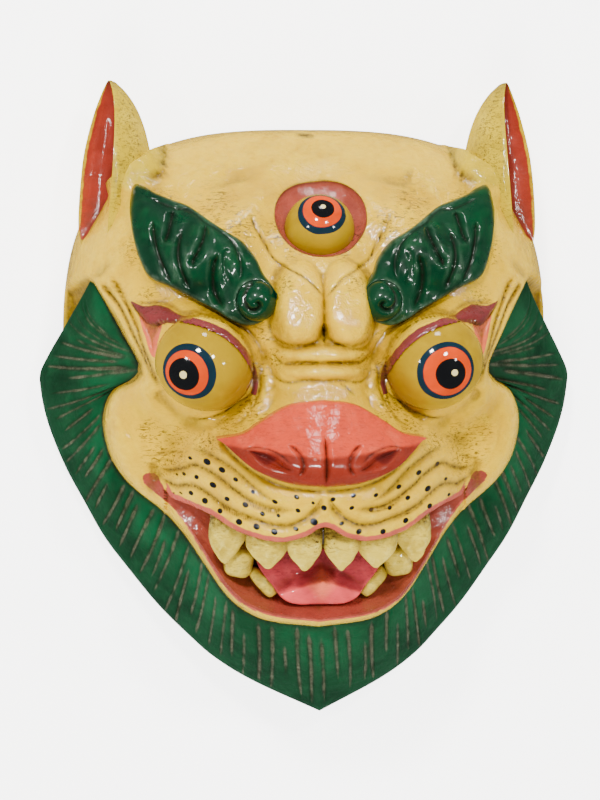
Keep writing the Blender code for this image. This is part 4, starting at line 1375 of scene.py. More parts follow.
@dataclass
class Ear:
    """A pointed leaf with a red bowl that faces outwards."""

    head: LionHead
    side: Side
    facing: float = 33.0
    rim_shares: tuple[float, float] = (0.97, 0.93)  # how far the bowl reaches to its outer and inner edge
    bowl_lift: float = 1.5
    wall: float = 6.0  # wood left between the ear's foot and the wearer's hollow
    columns: int = 96
    rows: int = 110
    sections: Points = (  # y, x, z, width, depth and hollow
        (84, 124, 54, 26, 40, 0.0), (95, 126, 54, 31, 42, 0.05), (106, 126.5, 55, 34, 42, 0.26),
        (127, 125, 56, 35, 39, 0.38), (148, 123, 54, 33, 33, 0.45), (169, 120, 50, 24, 23, 0.5),
        (182, 118, 47, 13, 12, 0.5), (190, 117, 45, 2, 2, 0.3))

    def ring(self, around: Array, along: Array) -> tuple[Array, Array]:
        """Places of the ear's skin.

        Args:
            around: Share round the leaf: the shell first, then the bowl.
            along: Share from its foot to its tip.
        Returns:
            The places and how far each lies inside the bowl's edge.
        """
        y, x, z, width, depth, hollow = at_share(smooth_path(self.sections, 200), along)
        close = np.sqrt(np.clip(np.minimum(along / 0.02, (1 - along) / 0.015), 0, 1))
        facing = math.radians(self.facing)
        out, across = (math.cos(facing), math.sin(facing)), (-math.sin(facing), math.cos(facing))
        in_shell = around <= 0.6
        sweep = np.where(in_shell, around / 0.6, (1 - around) / 0.4)
        turn = math.pi * (sweep - 0.5)
        half = width / 2 * close
        rough = 0.25 * ripples(y * 0.6, 40 * turn, 16, 31)
        shell_out = -depth * close * np.cos(turn) + rough * np.cos(turn)
        bowl_out = -depth * close * hollow * np.cos(turn) ** 0.8 + self.bowl_lift + rough * 1.6 * np.cos(turn)
        reach = np.where(in_shell, shell_out, bowl_out)
        rim = np.where(turn < 0, self.rim_shares[0], self.rim_shares[1])
        spread = np.where(in_shell, half * np.sin(turn), half * rim * np.sin(turn))
        places = np.column_stack([self.side.value * (x + reach * out[0] + spread * across[0]), y,
                                  z + reach * out[1] + spread * across[1]])
        hidden = self.head.ceiling(places[:, 0], places[:, 1])[0] + self.wall
        places[:, 2] = np.maximum(places[:, 2], hidden)
        inside = np.where(in_shell, -1, 6) * half * (1 - np.abs(np.sin(turn)))
        return places, np.minimum(inside, 0.6 * (y - 95.5))

    def make(self, coat: Material) -> Object:
        """Build and paint the ear.

        Args:
            coat: Its enamel.
        Returns:
            The finished piece.
        """
        form, shares = new_grid(self.columns, self.rows)
        places, inside = self.ring(shares[:, 0], shares[:, 1])
        layer = form.verts.layers.float.new("bowl")
        for vert, depth in zip(form.verts, inside):
            vert[layer] = depth
        move_to(form, places)
        bmesh.ops.remove_doubles(form, verts=form.verts, dist=0.02)
        face_outwards(form)
        made = to_object(f"ear_{self.side.word}_leaf", form)
        flat = np.zeros(len(made.data.vertices), np.float32)
        made.data.attributes["bowl"].data.foreach_get("value", flat)
        x, y, _ = mesh_places(made)
        in_bowl = ramp(flat, 0.5, 8.0)
        flaked = 0.75 * in_bowl * ramp(y, 128, 104) * (0.6 + 0.4 * ripples(x, y, 7, 33))
        dirt = np.maximum.reduce([flaked, 0.8 * ramp(y, 181, 192), 0.4 * ramp(y, 112, 92)])
        flecks = np.where(flat > 0, 0.5 * ramp(y, 140, 100), 0.25 + 0.75 * np.exp(-((flat + 1.5) / 2.0) ** 2))
        shade_and_weather(made, dirt, 14, 0.8, 0.6, 1 - ramp(flat, 2.0, -1.0), flecks)
        dress(made, coat, [f"ear_{self.side.word}"], 75)
        return made


@dataclass
class Brow:
    """A flame of five overlapping locks that ends in a curl over the nose."""

    head: LionHead
    side: Side
    thickness: float = 12.0
    edge: float = 3.0
    root: float = 6.0
    curl: tuple[float, float, float, float] = (34.9, 61.8, 6.0, 11.4)  # x, y, height over skin, radius
    upper: Points = (
        (103.5, 130), (97, 127), (90.5, 123), (82, 119.5), (73, 116), (65, 110.5), (57.6, 105), (50, 100),
        (43.3, 96), (38, 90.5), (34, 84.5), (31, 77.5), (27, 71.5), (24.2, 66.5))
    lower: Points = (
        (104.5, 128), (106, 115), (105, 104), (103, 94), (100, 84.5), (94.6, 75), (83, 69.5), (71.5, 63.6),
        (58.2, 56.8), (50, 51.5), (41, 48), (33, 49.6), (27.4, 54.6), (24.4, 61), (23.6, 65.5))
    strokes: tuple[Stroke, ...] = (
        Stroke(((92.6, 107), (91.6, 97), (89.4, 88), (86, 79.5), (82, 71.5)), 4.2, 3.6, 0.8),
        Stroke(((81, 113), (82.6, 105), (84.2, 98.5), (86.4, 94)), 4.6, 4.2, 0.8),
        Stroke(((76, 101), (78, 93), (78.2, 85), (76, 77), (72, 68)), 4.4, 3.8, 0.8),
        Stroke(((62.5, 105), (64, 97.5), (67, 90), (70.2, 84), (70, 80.5)), 5.0, 4.6, 0.8),
        Stroke(((56.4, 88), (58.6, 81), (59, 72), (57.6, 65), (53.6, 58)), 4.6, 4.2, 0.8),
        Stroke(((95, 120.5), (88, 117), (82, 114.5), (78.5, 113.6), (73, 113.4), (67.5, 110), (63, 105.5),
                (58, 103), (52, 98.6), (47, 93), (44, 86), (43.4, 78), (44.5, 73)), 3.2, 2.4, 0.6, taper=0.1),
        Stroke(((50, 92), (52.5, 86), (52, 78), (49, 70)), 3.0, 1.2, 0.3, Blade.GOUGE),
        Stroke(((72, 107), (73.5, 99), (73, 92)), 5.0, 1.2, 0.2, Blade.GOUGE),
        Stroke(((99, 118), (99.6, 104), (97, 90)), 6.0, 1.0, 0.1, Blade.GOUGE),
        Stroke(((98.5, 121), (101, 108), (99, 93)), 4.0, -0.8, 0.0, Blade.GOUGE),
    )

    def across(self, s: Array, t: Array) -> tuple[Array, Array]:
        """Places between the two edges of the flame, on the right side."""
        return between(smooth_path(self.upper, 80), smooth_path(self.lower, 80), s, t)

    def top(self, s: Array, t: Array) -> Array:
        """The carved front of the locks.

        Args:
            s: Share along the two edges.
            t: Share from the first edge to the second.
        Returns:
            A row for each place.
        """
        x, y = self.across(s, t)
        crown = np.sin(math.pi * np.clip(t, 0, 1)) ** 0.45
        cut, _ = carve(x, y, self.strokes)
        rim = np.clip(np.minimum(t, 1 - t) / 0.08, 0, 1)
        height = self.edge + (self.thickness - self.edge) * crown - cut * np.sqrt(rim)
        aside = np.hypot(x - self.curl[0], y - self.curl[1])
        height = height * (0.3 + 0.7 * ramp(aside, self.curl[3] - 2.0, self.curl[3] + 0.6))
        skin = self.head.plain_height(x, y, False)
        z = skin + height * np.sqrt(np.clip(s / 0.03, 0.2, 1)) + 0.2 * ripples(x, y, 8, 41)
        return np.column_stack([self.side.value * x, y, z])

    def bottom(self, s: Array, t: Array) -> Array:
        """The foot of the locks, sunk in the forehead."""
        x, y = self.across(s, t)
        return np.column_stack([self.side.value * x, y, self.head.plain_height(x, y, False) - self.root])

    def spiral(self) -> Form:
        """The round curl, with the groove that winds into it.

        Returns:
            Its closed form in place.
        """
        x, y, rise, radius = self.curl
        floor = float(self.head.plain_height(np.array([x]), np.array([y]), False)[0])
        form = new_ball(96, 64, radius)
        places = coordinates(form)
        winding = Stroke(((-1.5, 11.4), (-5.4, 9.6), (-8.4, 4.6), (-8.6, 0), (-6, -4.8), (-1.8, -5.6),
                          (1.4, -3.2), (0.4, -1.0), (-1.8, -0.6)), 3.2, 4.0, 1.0, mirror=False, taper=0.08)
        cut, _ = winding.cut(places[:, 0], places[:, 1])
        places -= places / radius * np.where(places[:, 2] > 0, cut, 0)[:, None]
        places[:, 0] *= -self.side.value
        move_to(form, places + [self.side.value * x, y, floor + rise])
        face_outwards(form)
        return form

    def make(self, coat: Material) -> list[Object]:
        """Build and paint the flame and its curl.

        Args:
            coat: Their enamel.
        Returns:
            The two finished pieces.
        """
        flame = to_object(f"brow_{self.side.word}_flame", pad(190, 74, self.top, self.bottom))
        x, y, z = mesh_places(flame)
        _, dirt = carve(np.abs(x), y, self.strokes)
        # Darker along the flame's foot where it meets the forehead: painted shade and dirt
        low = ramp(self.head.plain_height(x, y, False) + 2.5 - z, 0, 2) * 0.8
        shade_and_weather(flame, np.maximum(dirt, low), 20, 0.9, 0.9)
        curl = to_object(f"brow_{self.side.word}_curl", self.spiral())
        x, y, z = mesh_places(curl)
        centre_x, centre_y, rise, radius = self.curl
        floor = self.head.plain_height(np.full(1, centre_x), np.full(1, centre_y), False)[0] + rise
        dx, dy, dz = x - self.side.value * centre_x, y - centre_y, z - floor
        sunk = radius - np.sqrt(dx ** 2 + dy ** 2 + dz ** 2)
        # Darker in the winding groove and low down by the forehead: painted shade and dirt
        shade_and_weather(curl, np.maximum(ramp(sunk, 1.0, 3.0), ramp(floor - z, -2, 3) * 0.7), 6, 1.2)
        for piece in (flame, curl):
            dress(piece, coat, [f"eyebrow_{self.side.word}"], 70)
        return [flame, curl]


@dataclass
class Nose:
    """The broad nose leather: two planes that meet in a rounded edge, two nostrils and a groove."""

    head: LionHead
    tip: tuple[float, float] = (-27.0, 182.0)
    slopes: tuple[float, float] = (0.86, 0.9)
    sweep: float = 0.0078
    root: float = 8.0
    upper: Points = ((0, 8), (18, 5.5), (34, -3.5), (44, -10), (54.4, -12.5), (58, -13.4))
    lower: Points = ((0, -37.5), (20, -35.5), (37, -29), (48, -21), (54.4, -15.5), (58, -13.8))
    nostril: Points = ((42, -18.2), (37.5, -17.6), (31, -18.6), (25, -21), (20, -25), (17.2, -28.2),
                       (20.5, -30), (28, -28.8), (35, -25.5), (39.5, -21.5))
    strokes: tuple[Stroke, ...] = (
        Stroke(((0, -9.5), (0, -16), (0, -26), (0, -36.5)), 3.6, 4.4, 0.95, mirror=False, taper=0.25),
        Stroke(((20.5, -14.5), (16.5, -17), (13.6, -20.6), (12.4, -25), (13.4, -28.8), (16, -31)),
               2.7, 3.4, 0.95, taper=0.2),
        Stroke(((44, -17.6), (38, -16.6), (31, -17.4), (24.5, -20), (19, -24.6)), 2.6, 1.4, 0.9, taper=0.2),
        Stroke(((50, -16), (40, -24.5), (28, -31), (16, -33.6)), 5.0, 1.0, 0.2, Blade.GOUGE),
    )

    def across(self, s: Array, t: Array) -> tuple[Array, Array]:
        """Places between the nose's upper and lower edges."""
        upper, lower = mirrored(smooth_path(self.upper, 60)), mirrored(smooth_path(self.lower, 60))
        return between(upper, lower, s, t)

    def surface(self, x: Array, y: Array) -> Array:
        """Height of the carved leather.

        Args:
            x, y: Places on the mask.
        Returns:
            The height in millimetres.
        """
        rise = y - self.tip[0]
        over, under = self.tip[1] - self.slopes[0] * rise, self.tip[1] + self.slopes[1] * rise
        height = blend_down(over, under, 3.2) - self.sweep * x ** 2
        cut, _ = carve(x, y, self.strokes)
        hole = zone_depth(np.abs(x), y, self.nostril)
        uneven = 0.22 * ripples(x, y, 9, 51) + 0.3 * ripples(x, y, 20, 52)
        return height - cut - 6.5 * ramp(hole, -0.3, 4.2) + uneven

    def top(self, s: Array, t: Array) -> Array:
        """The leather's front, rounded at its edges.

        Args:
            s: Share along the two edges.
            t: Share from the first edge to the second.
        Returns:
            A row for each place.
        """
        x, y = self.across(s, t)
        rim = np.clip(np.minimum(t, 1 - t) * 14, 0, 1)
        return np.column_stack([x, y, self.surface(x, y) - 1.6 * (1 - np.sqrt(1 - (1 - rim) ** 2))])

    def bottom(self, s: Array, t: Array) -> Array:
        """The leather's foot, sunk in the muzzle."""
        x, y = self.across(s, t)
        return np.column_stack([x, y, self.head.plain_height(x, y) - self.root])

    def make(self, coat: Material) -> Object:
        """Build and paint the nose.

        Args:
            coat: Its enamel.
        Returns:
            The finished piece.
        """
        made = to_object("nose_leather", pad(230, 84, self.top, self.bottom))
        x, y, z = mesh_places(made)
        _, dirt = carve(x, y, self.strokes)
        hole = zone_depth(np.abs(x), y, self.nostril)
        # Painted shadow under the nostril's upper wall
        nostril_roof_shade = ramp(hole, 0.2, 3) * ramp(y + 0.62 * (np.abs(x) - 30), -26.5, -22.5)
        # Darker at the leather's foot: painted shade and dirt
        low = 0.7 * ramp(self.head.plain_height(x, y) + 1.5 - z, 0, 2)
        store(made, "nostril", nostril_roof_shade * 4 - 1.2)
        # Darker lower plane, away from the light: painted shade and a darker paint
        store(made, "under", 1.2 * (0.1 * np.abs(x) - 21.5 - y))
        shade_and_weather(made, np.maximum.reduce([dirt, low, 0.45 * nostril_roof_shade]), 16, 1.0, 0.5,
                worn=0.3 * ramp(y, self.tip[0] - 2, self.tip[0] + 10))
        dress(made, coat, ["nose"], 70)
        return made


@dataclass
class UpperTooth:
    """A tooth that hangs from under the lip and narrows to a blunt point."""

    label: str
    side: Side
    x: float
    root_y: float
    root_z: float
    length: float
    width: float
    depth: float
    lean: float
    profile: Points = (  # share of the length, share of the width
        (0, 0.1), (0.02, 1.0), (0.25, 1.08), (0.46, 1.1), (0.6, 0.98), (0.74, 0.74), (0.86, 0.47),
        (0.94, 0.27), (0.985, 0.13), (1.0, 0.02))

    def place(self, around: Array, along: Array) -> Array:
        """Places of the tooth's skin.

        Args:
            around: Share round the tooth.
            along: Share from its root to its tip.
        Returns:
            A row for each place.
        """
        run, size = at_share(smooth_path(self.profile, 120), along)
        turn = 2 * math.pi * around
        wide, deep = np.cos(turn), np.sin(turn)
        squared = 1 - 0.05 * np.cos(4 * turn)
        x = self.side.value * (self.x - self.lean * run) + self.width / 2 * size * wide * squared
        y = self.root_y - self.length * run
        swell = 0.3 * np.maximum(deep, 0) * np.sin(math.pi * np.clip(run, 0, 1))
        z = self.root_z + self.depth / 2 * size * deep * squared * np.where(deep > 0, 0.75, 1) + swell
        wear = 0.4 * ripples(x, y + z, 8, 61)
        return np.column_stack([x + wear * wide, y, z + wear * deep])

    def make(self, coat: Material) -> Object:
        """Build and paint the tooth.

        Args:
            coat: Its enamel.
        Returns:
            The finished piece.
        """
        node = f"upper_tooth_{self.label}_{self.side.word}"
        made = to_object(node + "_ivory", shaped_grid(56, 48, self.place))
        x, y, z = mesh_places(made)
        run = (self.root_y - y) / self.length
        flank = np.abs(np.abs(x) - self.x + self.lean * run) / (self.width / 2)
        # Darker at the root, between the teeth and on the back: painted shade and dirt
        root = 0.9 * ramp(run, 0.5, 0.14)
        between = 0.6 * ramp(flank, 0.72, 1.0) * ramp(run, 0.7, 0.3)
        shade_and_weather(made, np.maximum.reduce([root, between, 0.3 * ramp(self.root_z - z, 0, 4)]),
                worn=0.15 + 0.5 * ramp(run, 0.7, 0.3) + 0.8 * np.exp(-(x / 6) ** 2) * ramp(run, 0.85, 0.4))
        dress(made, coat, [node], 80)
        return made


@dataclass
class LowerTooth:
    """A rounded peg that stands up from the lower lip."""

    label: str
    side: Side
    centre: tuple[float, float, float]
    half_sizes: tuple[float, float, float]
    turn: float

    def make(self, coat: Material) -> Object:
        """Build and paint the tooth.

        Args:
            coat: Its enamel.
        Returns:
            The finished piece.
        """
        node = f"lower_tooth_{self.label}_{self.side.word}"
        form = new_ball(48, 28)
        places = coordinates(form)
        places = np.sign(places) * np.abs(places) ** 0.66
        places *= 1 + 0.035 * ripples(places[:, 0], places[:, 1] + places[:, 2], 1.1, 71)[:, None]
        move_to(form, places * self.half_sizes)
        turn = Matrix.Rotation(math.radians(self.side.value * self.turn), 3, "Z")
        bmesh.ops.rotate(form, cent=(0, 0, 0), matrix=turn, verts=form.verts)
        x, y, z = self.centre
        bmesh.ops.translate(form, vec=(self.side.value * x, y, z), verts=form.verts)
        made = to_object(node + "_ivory", form)
        height = mesh_places(made)[2]
        # Darker towards its foot: painted shade and dirt
        shade_and_weather(made, 0.7 * ramp(z + self.half_sizes[2] * 0.6 - height, 0, 7), worn=0.4)
        dress(made, coat, [node], 80)
        return made


@dataclass
class Tongue:
    """A broad dished tongue whose front folds down from a peaked ridge."""

    outline: Points = (
        (36, -79), (35, -86), (30.5, -94), (25, -101.5), (20, -107), (13, -110), (0, -110.5))
    half_width: float = 34.0
    crest_z: float = 129.0
    back_y: float = -77.5
    root_z: float = 108.0
    peak: tuple[float, float, float] = (1.2, -94.5, 136.5)
    ridge_fall: float = 0.32  # how fast the ridge swings forwards away from its peak
    front_z: float = 123.5
    dish_z: float = 121.0
    margin_z: float = 127.0

    def across(self, s: Array, t: Array) -> tuple[Array, Array]:
        """Places between the tongue's straight back and its rounded front.

        Args:
            s: Share along the two edges.
            t: Share from the first edge to the second.
        Returns:
            The x and y of the places.
        """
        front = mirrored(smooth_path(self.outline[::-1], 50))
        front_x, front_y = at_share(front, s)
        back_x = self.half_width * (2 * s - 1)
        return back_x + (front_x - back_x) * t, self.back_y + (front_y - self.back_y) * t

    def ridge(self, x: Array) -> Array:
        """Where the ridge runs."""
        return self.peak[1] - self.ridge_fall * np.abs(x - self.peak[0]) ** 1.05

    def top(self, s: Array, t: Array) -> Array:
        """The tongue's upper side.

        Args:
            s: Share along the two edges.
            t: Share from the first edge to the second.
        Returns:
            A row for each place.
        """
        x, y = self.across(s, t)
        off = np.abs(x - self.peak[0])
        crest = self.crest_z + (self.peak[2] - self.crest_z) * np.exp(-(off / 7.5) ** 1.4)
        ahead = np.clip((self.ridge(x) - y) / 14.0, 0, 1)
        behind = np.clip((y - self.ridge(x)) / 9.0, 0, 1)
        dish = self.dish_z + (self.margin_z - self.dish_z) * (np.abs(x) / self.half_width) ** 2.2
        fallen = crest + (self.front_z - crest) * ahead ** 1.25
        height = np.where(y < self.ridge(x), fallen, crest + (dish - crest) * (1 - (1 - behind) ** 1.8))
        edge = np.minimum(np.minimum(s, 1 - s) / 0.05, (1 - t) / 0.07)
        rim = np.sqrt(1 - (1 - np.clip(edge, 0, 1)) ** 2)
        height = self.root_z + (height - self.root_z) * (0.5 + 0.5 * rim) + 0.3 * ripples(x, y, 8, 81)
        return np.column_stack([x, y, height])

    def bottom(self, s: Array, t: Array) -> Array:
        """The tongue's foot, sunk in the floor of the mouth."""
        x, y = self.across(s, t)
        return np.column_stack([x, y, np.full_like(x, self.root_z)])

    def make(self, coat: Material) -> Object:
        """Build and paint the tongue.

        Args:
            coat: Its enamel.
        Returns:
            The finished piece.
        """
        form = pad(110, 60, self.top, self.bottom)
        for _ in range(2):
            bmesh.ops.smooth_vert(form, verts=form.verts, factor=0.5, use_axis_x=True, use_axis_y=True,
                                  use_axis_z=True)
        made = to_object("tongue_flesh", form)
        x, y, z = mesh_places(made)
        store(made, "band", self.ridge(x) + 1.0 - y + 0.8 * ripples(x, y, 12, 82))
        # Painted highlight: an orange patch on the peak of the ridge
        store(made, "peak", 7.5 - np.abs(x - self.peak[0]) - 0.8 * np.abs(y - self.peak[1] + 3))
        # Darker towards the back of the mouth and low down: painted shade
        shade_and_weather(made, 0.7 * ramp(y, -91, -82) + 0.5 * ramp(z, 116, 110), worn=0.1 + 0.3 * ramp(y, -100, -90))
        dress(made, coat, ["tongue"], 80)
        return made


@dataclass
class Mane:
    """The flared ruff of mane and beard, with V grooves that fan out to its edge."""

    head: LionHead
    edge: float = 9.0
    end_edge: float = 0.35
    crown: float = 5.0
    tuck: float = 7.0
    sway: float = 7.5
    back_z: float = 4.0
    back_inset: float = 9.0
    taper: float = 0.1
    sections: int = 760
    front_rows: int = 46
    back_rows: int = 14
    grooves: int = 78
    groove_width: float = 2.5
    groove_depth: float = 2.7
    run_lengths: tuple[float, float] = (330.0, 660.0)  # round the face, at the inner and the outer edge
    fan: tuple[float, float] = (0.108, 0.75)  # where the grooves gather beside the eye, and how much

    def edges(self, share: Array) -> tuple[Array, Array, Array]:
        """The ruff's edges.

        Args:
            share: Share of its run round the face.
        Returns:
            The inner edge, the outer edge and how full the ruff is.
        """
        inner, outer = [mirrored(smooth_path(points[::-1], 200)) for points in (MANE_INNER, MANE_OUTER)]
        outer[:, 0] += self.sway * np.clip(outer[:, 1] / outer[:, 1].min(), 0, 1) ** 3
        inner, outer = [np.column_stack(at_share(path, share)) for path in (inner, outer)]
        return inner, outer, np.clip(np.minimum(share, 1 - share) / self.taper, 0, 1)

    def groove_terms(self, share: Array, across: Array) -> tuple[Array, Array]:
        """Depth of the fan of grooves, and the grey line of dust and painted glint along each.

        Args:
            share: Share of the run round the face.
            across: Share from the inner to the outer edge.
        Returns:
            The depth in millimetres and that line, from 0 to 1.
        """
        draw = np.random.default_rng(91)
        depth, dirt = np.zeros(share.shape), np.zeros(share.shape)
        length = self.run_lengths[0] + (self.run_lengths[1] - self.run_lengths[0]) * across
        for number in range(self.grooves):
            middle = (number + 0.5 + draw.uniform(-0.2, 0.2)) / self.grooves
            tilt, bend = draw.uniform(-0.003, 0.003), draw.uniform(-0.002, 0.002)
            start = draw.uniform(-0.05, 0.08) if number % 3 else draw.uniform(0.1, 0.35)
            stop = draw.uniform(0.94, 1.1) if number % 4 else draw.uniform(0.7, 0.88)
            strength = draw.uniform(0.7, 1.15)
            pull = self.fan[1] * (max(self.fan[0] - middle, 0) - max(middle - 1 + self.fan[0], 0))
            line = middle + pull * (1 - across) + tilt * (across - 0.5) + bend * np.sin(math.pi * across)
            gap = np.abs(share - line) * length
            fade = ramp(across, start - 0.02, start + 0.14) * ramp(across, stop + 0.02, stop - 0.2)
            width = self.groove_width * (0.5 + 0.5 * fade)
            form = np.clip(1 - gap / width, 0, 1)
            depth += self.groove_depth * strength * fade * form ** 1.5
            dirt = np.maximum(dirt, strength * fade * np.clip(1 - gap / (0.4 * width), 0, 1) ** 0.6)
        return depth, dirt

    def place(self, share: Array, around: Array) -> Array:
        """Places of the ruff's skin: from under the face over its front, round its edge and back.

        Args:
            share: Share of its run round the face.
            around: Share round its section.
        Returns:
            A row for each place.
        """
        rows = self.front_rows + self.back_rows
        number = np.rint(around * rows)
        inner, outer, full = self.edges(share)
        across = np.clip((number - 2) / (self.front_rows - 2), 0, 1)
        out = outer[:, :2] - inner[:, :2]
        reach = np.hypot(*out.T)
        plain = np.column_stack([np.sign(inner[:, 0]), np.zeros(len(inner))])
        out = np.where((reach > 3)[:, None], out / np.maximum(reach, 1e-6)[:, None], plain)
        out = np.column_stack([out, np.zeros(len(out))])
        depth, _ = self.groove_terms(share, across)
        uneven = 0.5 * ripples(share * 600, across * 40, 30, 92)
        front = inner + (outer - inner) * across[:, None]
        front[:, 2] += (self.crown * np.sin(math.pi * across) + uneven) * full - depth * full
        rounding = np.clip((across - 0.95) / 0.05, 0, 1)
        front[:, 2] -= 2.0 * (1 - np.sqrt(np.maximum(1 - rounding ** 2, 0))) * full
        tucked = inner - out * self.tuck
        tucked[:, 2] -= 3
        angle = np.arctan2(inner[:, 1] - self.head.pole_y, inner[:, 0])
        foot_reach = self.head.outline_reach(angle) - self.back_inset
        foot = np.column_stack([foot_reach * np.cos(angle), self.head.pole_y + foot_reach * np.sin(angle),
                                np.full(len(angle), self.back_z)])
        end_foot = tucked - [0, 0, 10]
        foot = end_foot + (foot - end_foot) * full[:, None]
        lip = self.edge * (self.end_edge + (1 - self.end_edge) * full)
        under = outer.copy()
        under[:, 2] -= lip
        edge_share = np.clip((number - self.front_rows) / 3, 0, 1)
        round_out = 1.2 * np.sin(math.pi * edge_share) * full
        edge_place = outer + (under - outer) * edge_share[:, None] + out * round_out[:, None]
        edge_place[:, 2] -= 2.0 * full * (1 - edge_share)
        home_share = np.clip((number - self.front_rows - 3) / (self.back_rows - 5), 0, 1)
        back = under + (foot - under) * home_share[:, None]
        place = np.where((number <= 1)[:, None], tucked, front)
        place = np.where((number > self.front_rows)[:, None], edge_place, place)
        place = np.where((number > self.front_rows + 3)[:, None], back, place)
        return np.where((number >= rows - 1)[:, None], tucked, place)

    def make(self, coat: Material) -> Object:
        """Build and paint the ruff.

        Args:
            coat: Its enamel.
        Returns:
            The finished piece.
        """
        rows = self.front_rows + self.back_rows
        form, shares = new_grid(self.sections, rows)
        number = np.rint(shares[:, 1] * rows)
        across = np.clip((number - 2) / (self.front_rows - 2), 0, 1)
        cut, dirt = self.groove_terms(shares[:, 0], across)
        full = np.clip(np.minimum(shares[:, 0], 1 - shares[:, 0]) / self.taper, 0.3, 1)
        broken = 0.75 + 0.35 * ripples(shares[:, 0] * 600, across * 60, 9, 94)
        # The grey line of dust and painted glint along each groove's bottom
        dirt = np.where(number <= self.front_rows, dirt * full * broken, 0)
        # Painted shade and soot in the grooves and along the inner edge, where the ruff tucks under the face
        soot_and_shade = np.maximum(ramp(across, 0.1, 0.0), 0.7 * full * ramp(cut / self.groove_depth, 0.15, 0.7))
        soot_and_shade = np.where(number <= self.front_rows, soot_and_shade, 0)
        layers = {name: form.verts.layers.float.new(name) for name in ("dust_and_glint", "foot", "pale")}
        pale = np.where(number <= self.front_rows, ramp(across, 0.8, 0.2), 0) * (
            0.5 + 0.5 * ripples(shares[:, 0] * 600, across * 50, 60, 93))
        for vert, dust_and_glint, black, thin in zip(form.verts, dirt, soot_and_shade, pale):
            vert[layers["dust_and_glint"]] = dust_and_glint
            vert[layers["foot"]] = black * 0.9
            vert[layers["pale"]] = thin
        move_to(form, self.place(shares[:, 0], shares[:, 1]))
        bmesh.ops.remove_doubles(form, verts=form.verts, dist=0.005)
        bmesh.ops.holes_fill(form, edges=[edge for edge in form.edges if edge.is_boundary])
        face_outwards(form)
        made = to_object("mane_and_beard", form)
        foot = np.zeros(len(made.data.vertices), np.float32)
        made.data.attributes["foot"].data.foreach_get("value", foot)
        shade_and_weather(made, foot, 10, 0.6, 0.6, worn=0.1)
        dress(made, coat, ["mane_ruff"], 60)
        return made


# Enamels

# Golden cream, thick and glossy, browned in its creases by dirt and painted shade; the eye gets old ivory
# under honey-coloured oil
CREAM = Enamel(
    "cream_oil_enamel", "D6AA00", "BE9200", "DEB600",
    zones=(
        PaintZone("ear_foot", "C0A40A", 0.0, 2.5, 0.5, 0.85),
        PaintZone("socket", "9C4638", 0.0, 0.3, 0.3),
        PaintZone("flesh", "D4603C"),
        PaintZone("lid", "6E2A2A"),
        PaintZone("lip", "B8503F", 0.0, 0.4, 0.35),
        PaintZone("mouth", "8A3A2C", 0.0, 0.25, 0.5),
        PaintZone("dots", "0A0E14", 0.0, 0.2, 0.1),
        PaintZone("wood", "6A4A28"),
    ), grime_and_shade="2E1E0C", grime_and_shade_strength=1.0, stain_and_shade="946A08", ridge="E8C430", ridge_strength=0.4,
    coat=0.85, tool_depth=0.9, tool_size=6.0)
# The greener, thinner cream of the ears, with a brick red bowl
EAR_CREAM = Enamel("ear_cream_oil_enamel", "C0A40A", "A08608", "CEB21C",
                   zones=(PaintZone("bowl", "8C2E20", 0.4, 0.3, 0.3),), stain_and_shade="80600C", tool_depth=0.5)
# Bottle green that looks wet, with small sharp lights along each lock and a paler painted highlight and wear
# on the ridges
GREEN = Enamel("green_oil_enamel", "012E19", "011C10", "02401F", grime_and_shade="140E08", grime_and_shade_strength=0.9,
               roughness=0.3, pin_dots=0.1, specular=0.12, coat=0.4, tool_depth=0.2, ridge="5E7460",
               ridge_strength=0.25)
# The same green rubbed half dull, with a grey line of dust and painted glint in every groove
MANE_GREEN = Enamel("mane_green_oil_enamel", "03361C", "022210", "054424",
                    zones=(PaintZone("pale", "0C5A34", 0.4, 0.4, 0.1, 0.5),
                           PaintZone("dust_and_glint", "6A6C54", 0.4, 0.3, 0.12, 0.8)), grime_and_shade="1A160C",
                    roughness=0.4, pin_dots=0.05, specular=0.12, coat=0.2)
# Egg yellow as smooth as glass, browner towards the nose, with the iris painted in flat rings
EYE_YELLOW = Enamel(
    "eye_yellow_oil_enamel", "9A7C00", "866800", "A68800",
    zones=(
        PaintZone("amber", "7A5002", 0.5, 0.45, 0.05, 0.8),
        PaintZone("blue", "10242F", 0.0, 0.12, 0.08),
        PaintZone("orange", "C63C00", 0.0, 0.12, 0.08),
        PaintZone("black", "0C0D0F", 0.0, 0.12, 0.08),
        PaintZone("dot", "E0D08A", 0.0, 0.12, 0.05),
    ),
    grime_and_shade="3A2008", roughness=0.12, specular=0.04, tool_depth=0.12, pin_dots=0.4)
# Salmon on top, where the light falls, and a darker brick red below that is painted shade and darker paint,
# with a painted shadow in each nostril
NOSE_PINK = Enamel("nose_pink_oil_enamel", "C64228", "AC3622", "D65A3C",
                   zones=(PaintZone("under", "6E2216", 0.0, 1.5, 0.3, 0.9),
                          PaintZone("nostril", "6A201C", 0.0, 1.2, 0.2)), grime_and_shade="2A100A", pin_dots=0.3,
                   tool_depth=0.6, stain_and_shade="7A2A1C")
# Yellowed ivory, brown at the gums with dirt and painted shade
IVORY = Enamel("ivory_oil_enamel", "CCB23C", "A48A26", "DCCA60", grime_and_shade="3C280C", grime_and_shade_strength=0.95,
               pin_dots=0.1, patch_size=14.0, tool_depth=0.5, tool_size=5.0, coat=0.85)
# Raspberry pink, paler on the fold in front, with a painted orange highlight at its peak
TONGUE_PINK = Enamel("tongue_pink_oil_enamel", "B43C42", "963038", "C44C50",
                     zones=(PaintZone("band", "DC4C4E", 0.0, 1.2, 0.5),
                            PaintZone("peak", "F07850", 1.0, 5.0, 0.6, 0.75)),
                     grime_and_shade="3A0E12", pin_dots=0.1)


# Studio


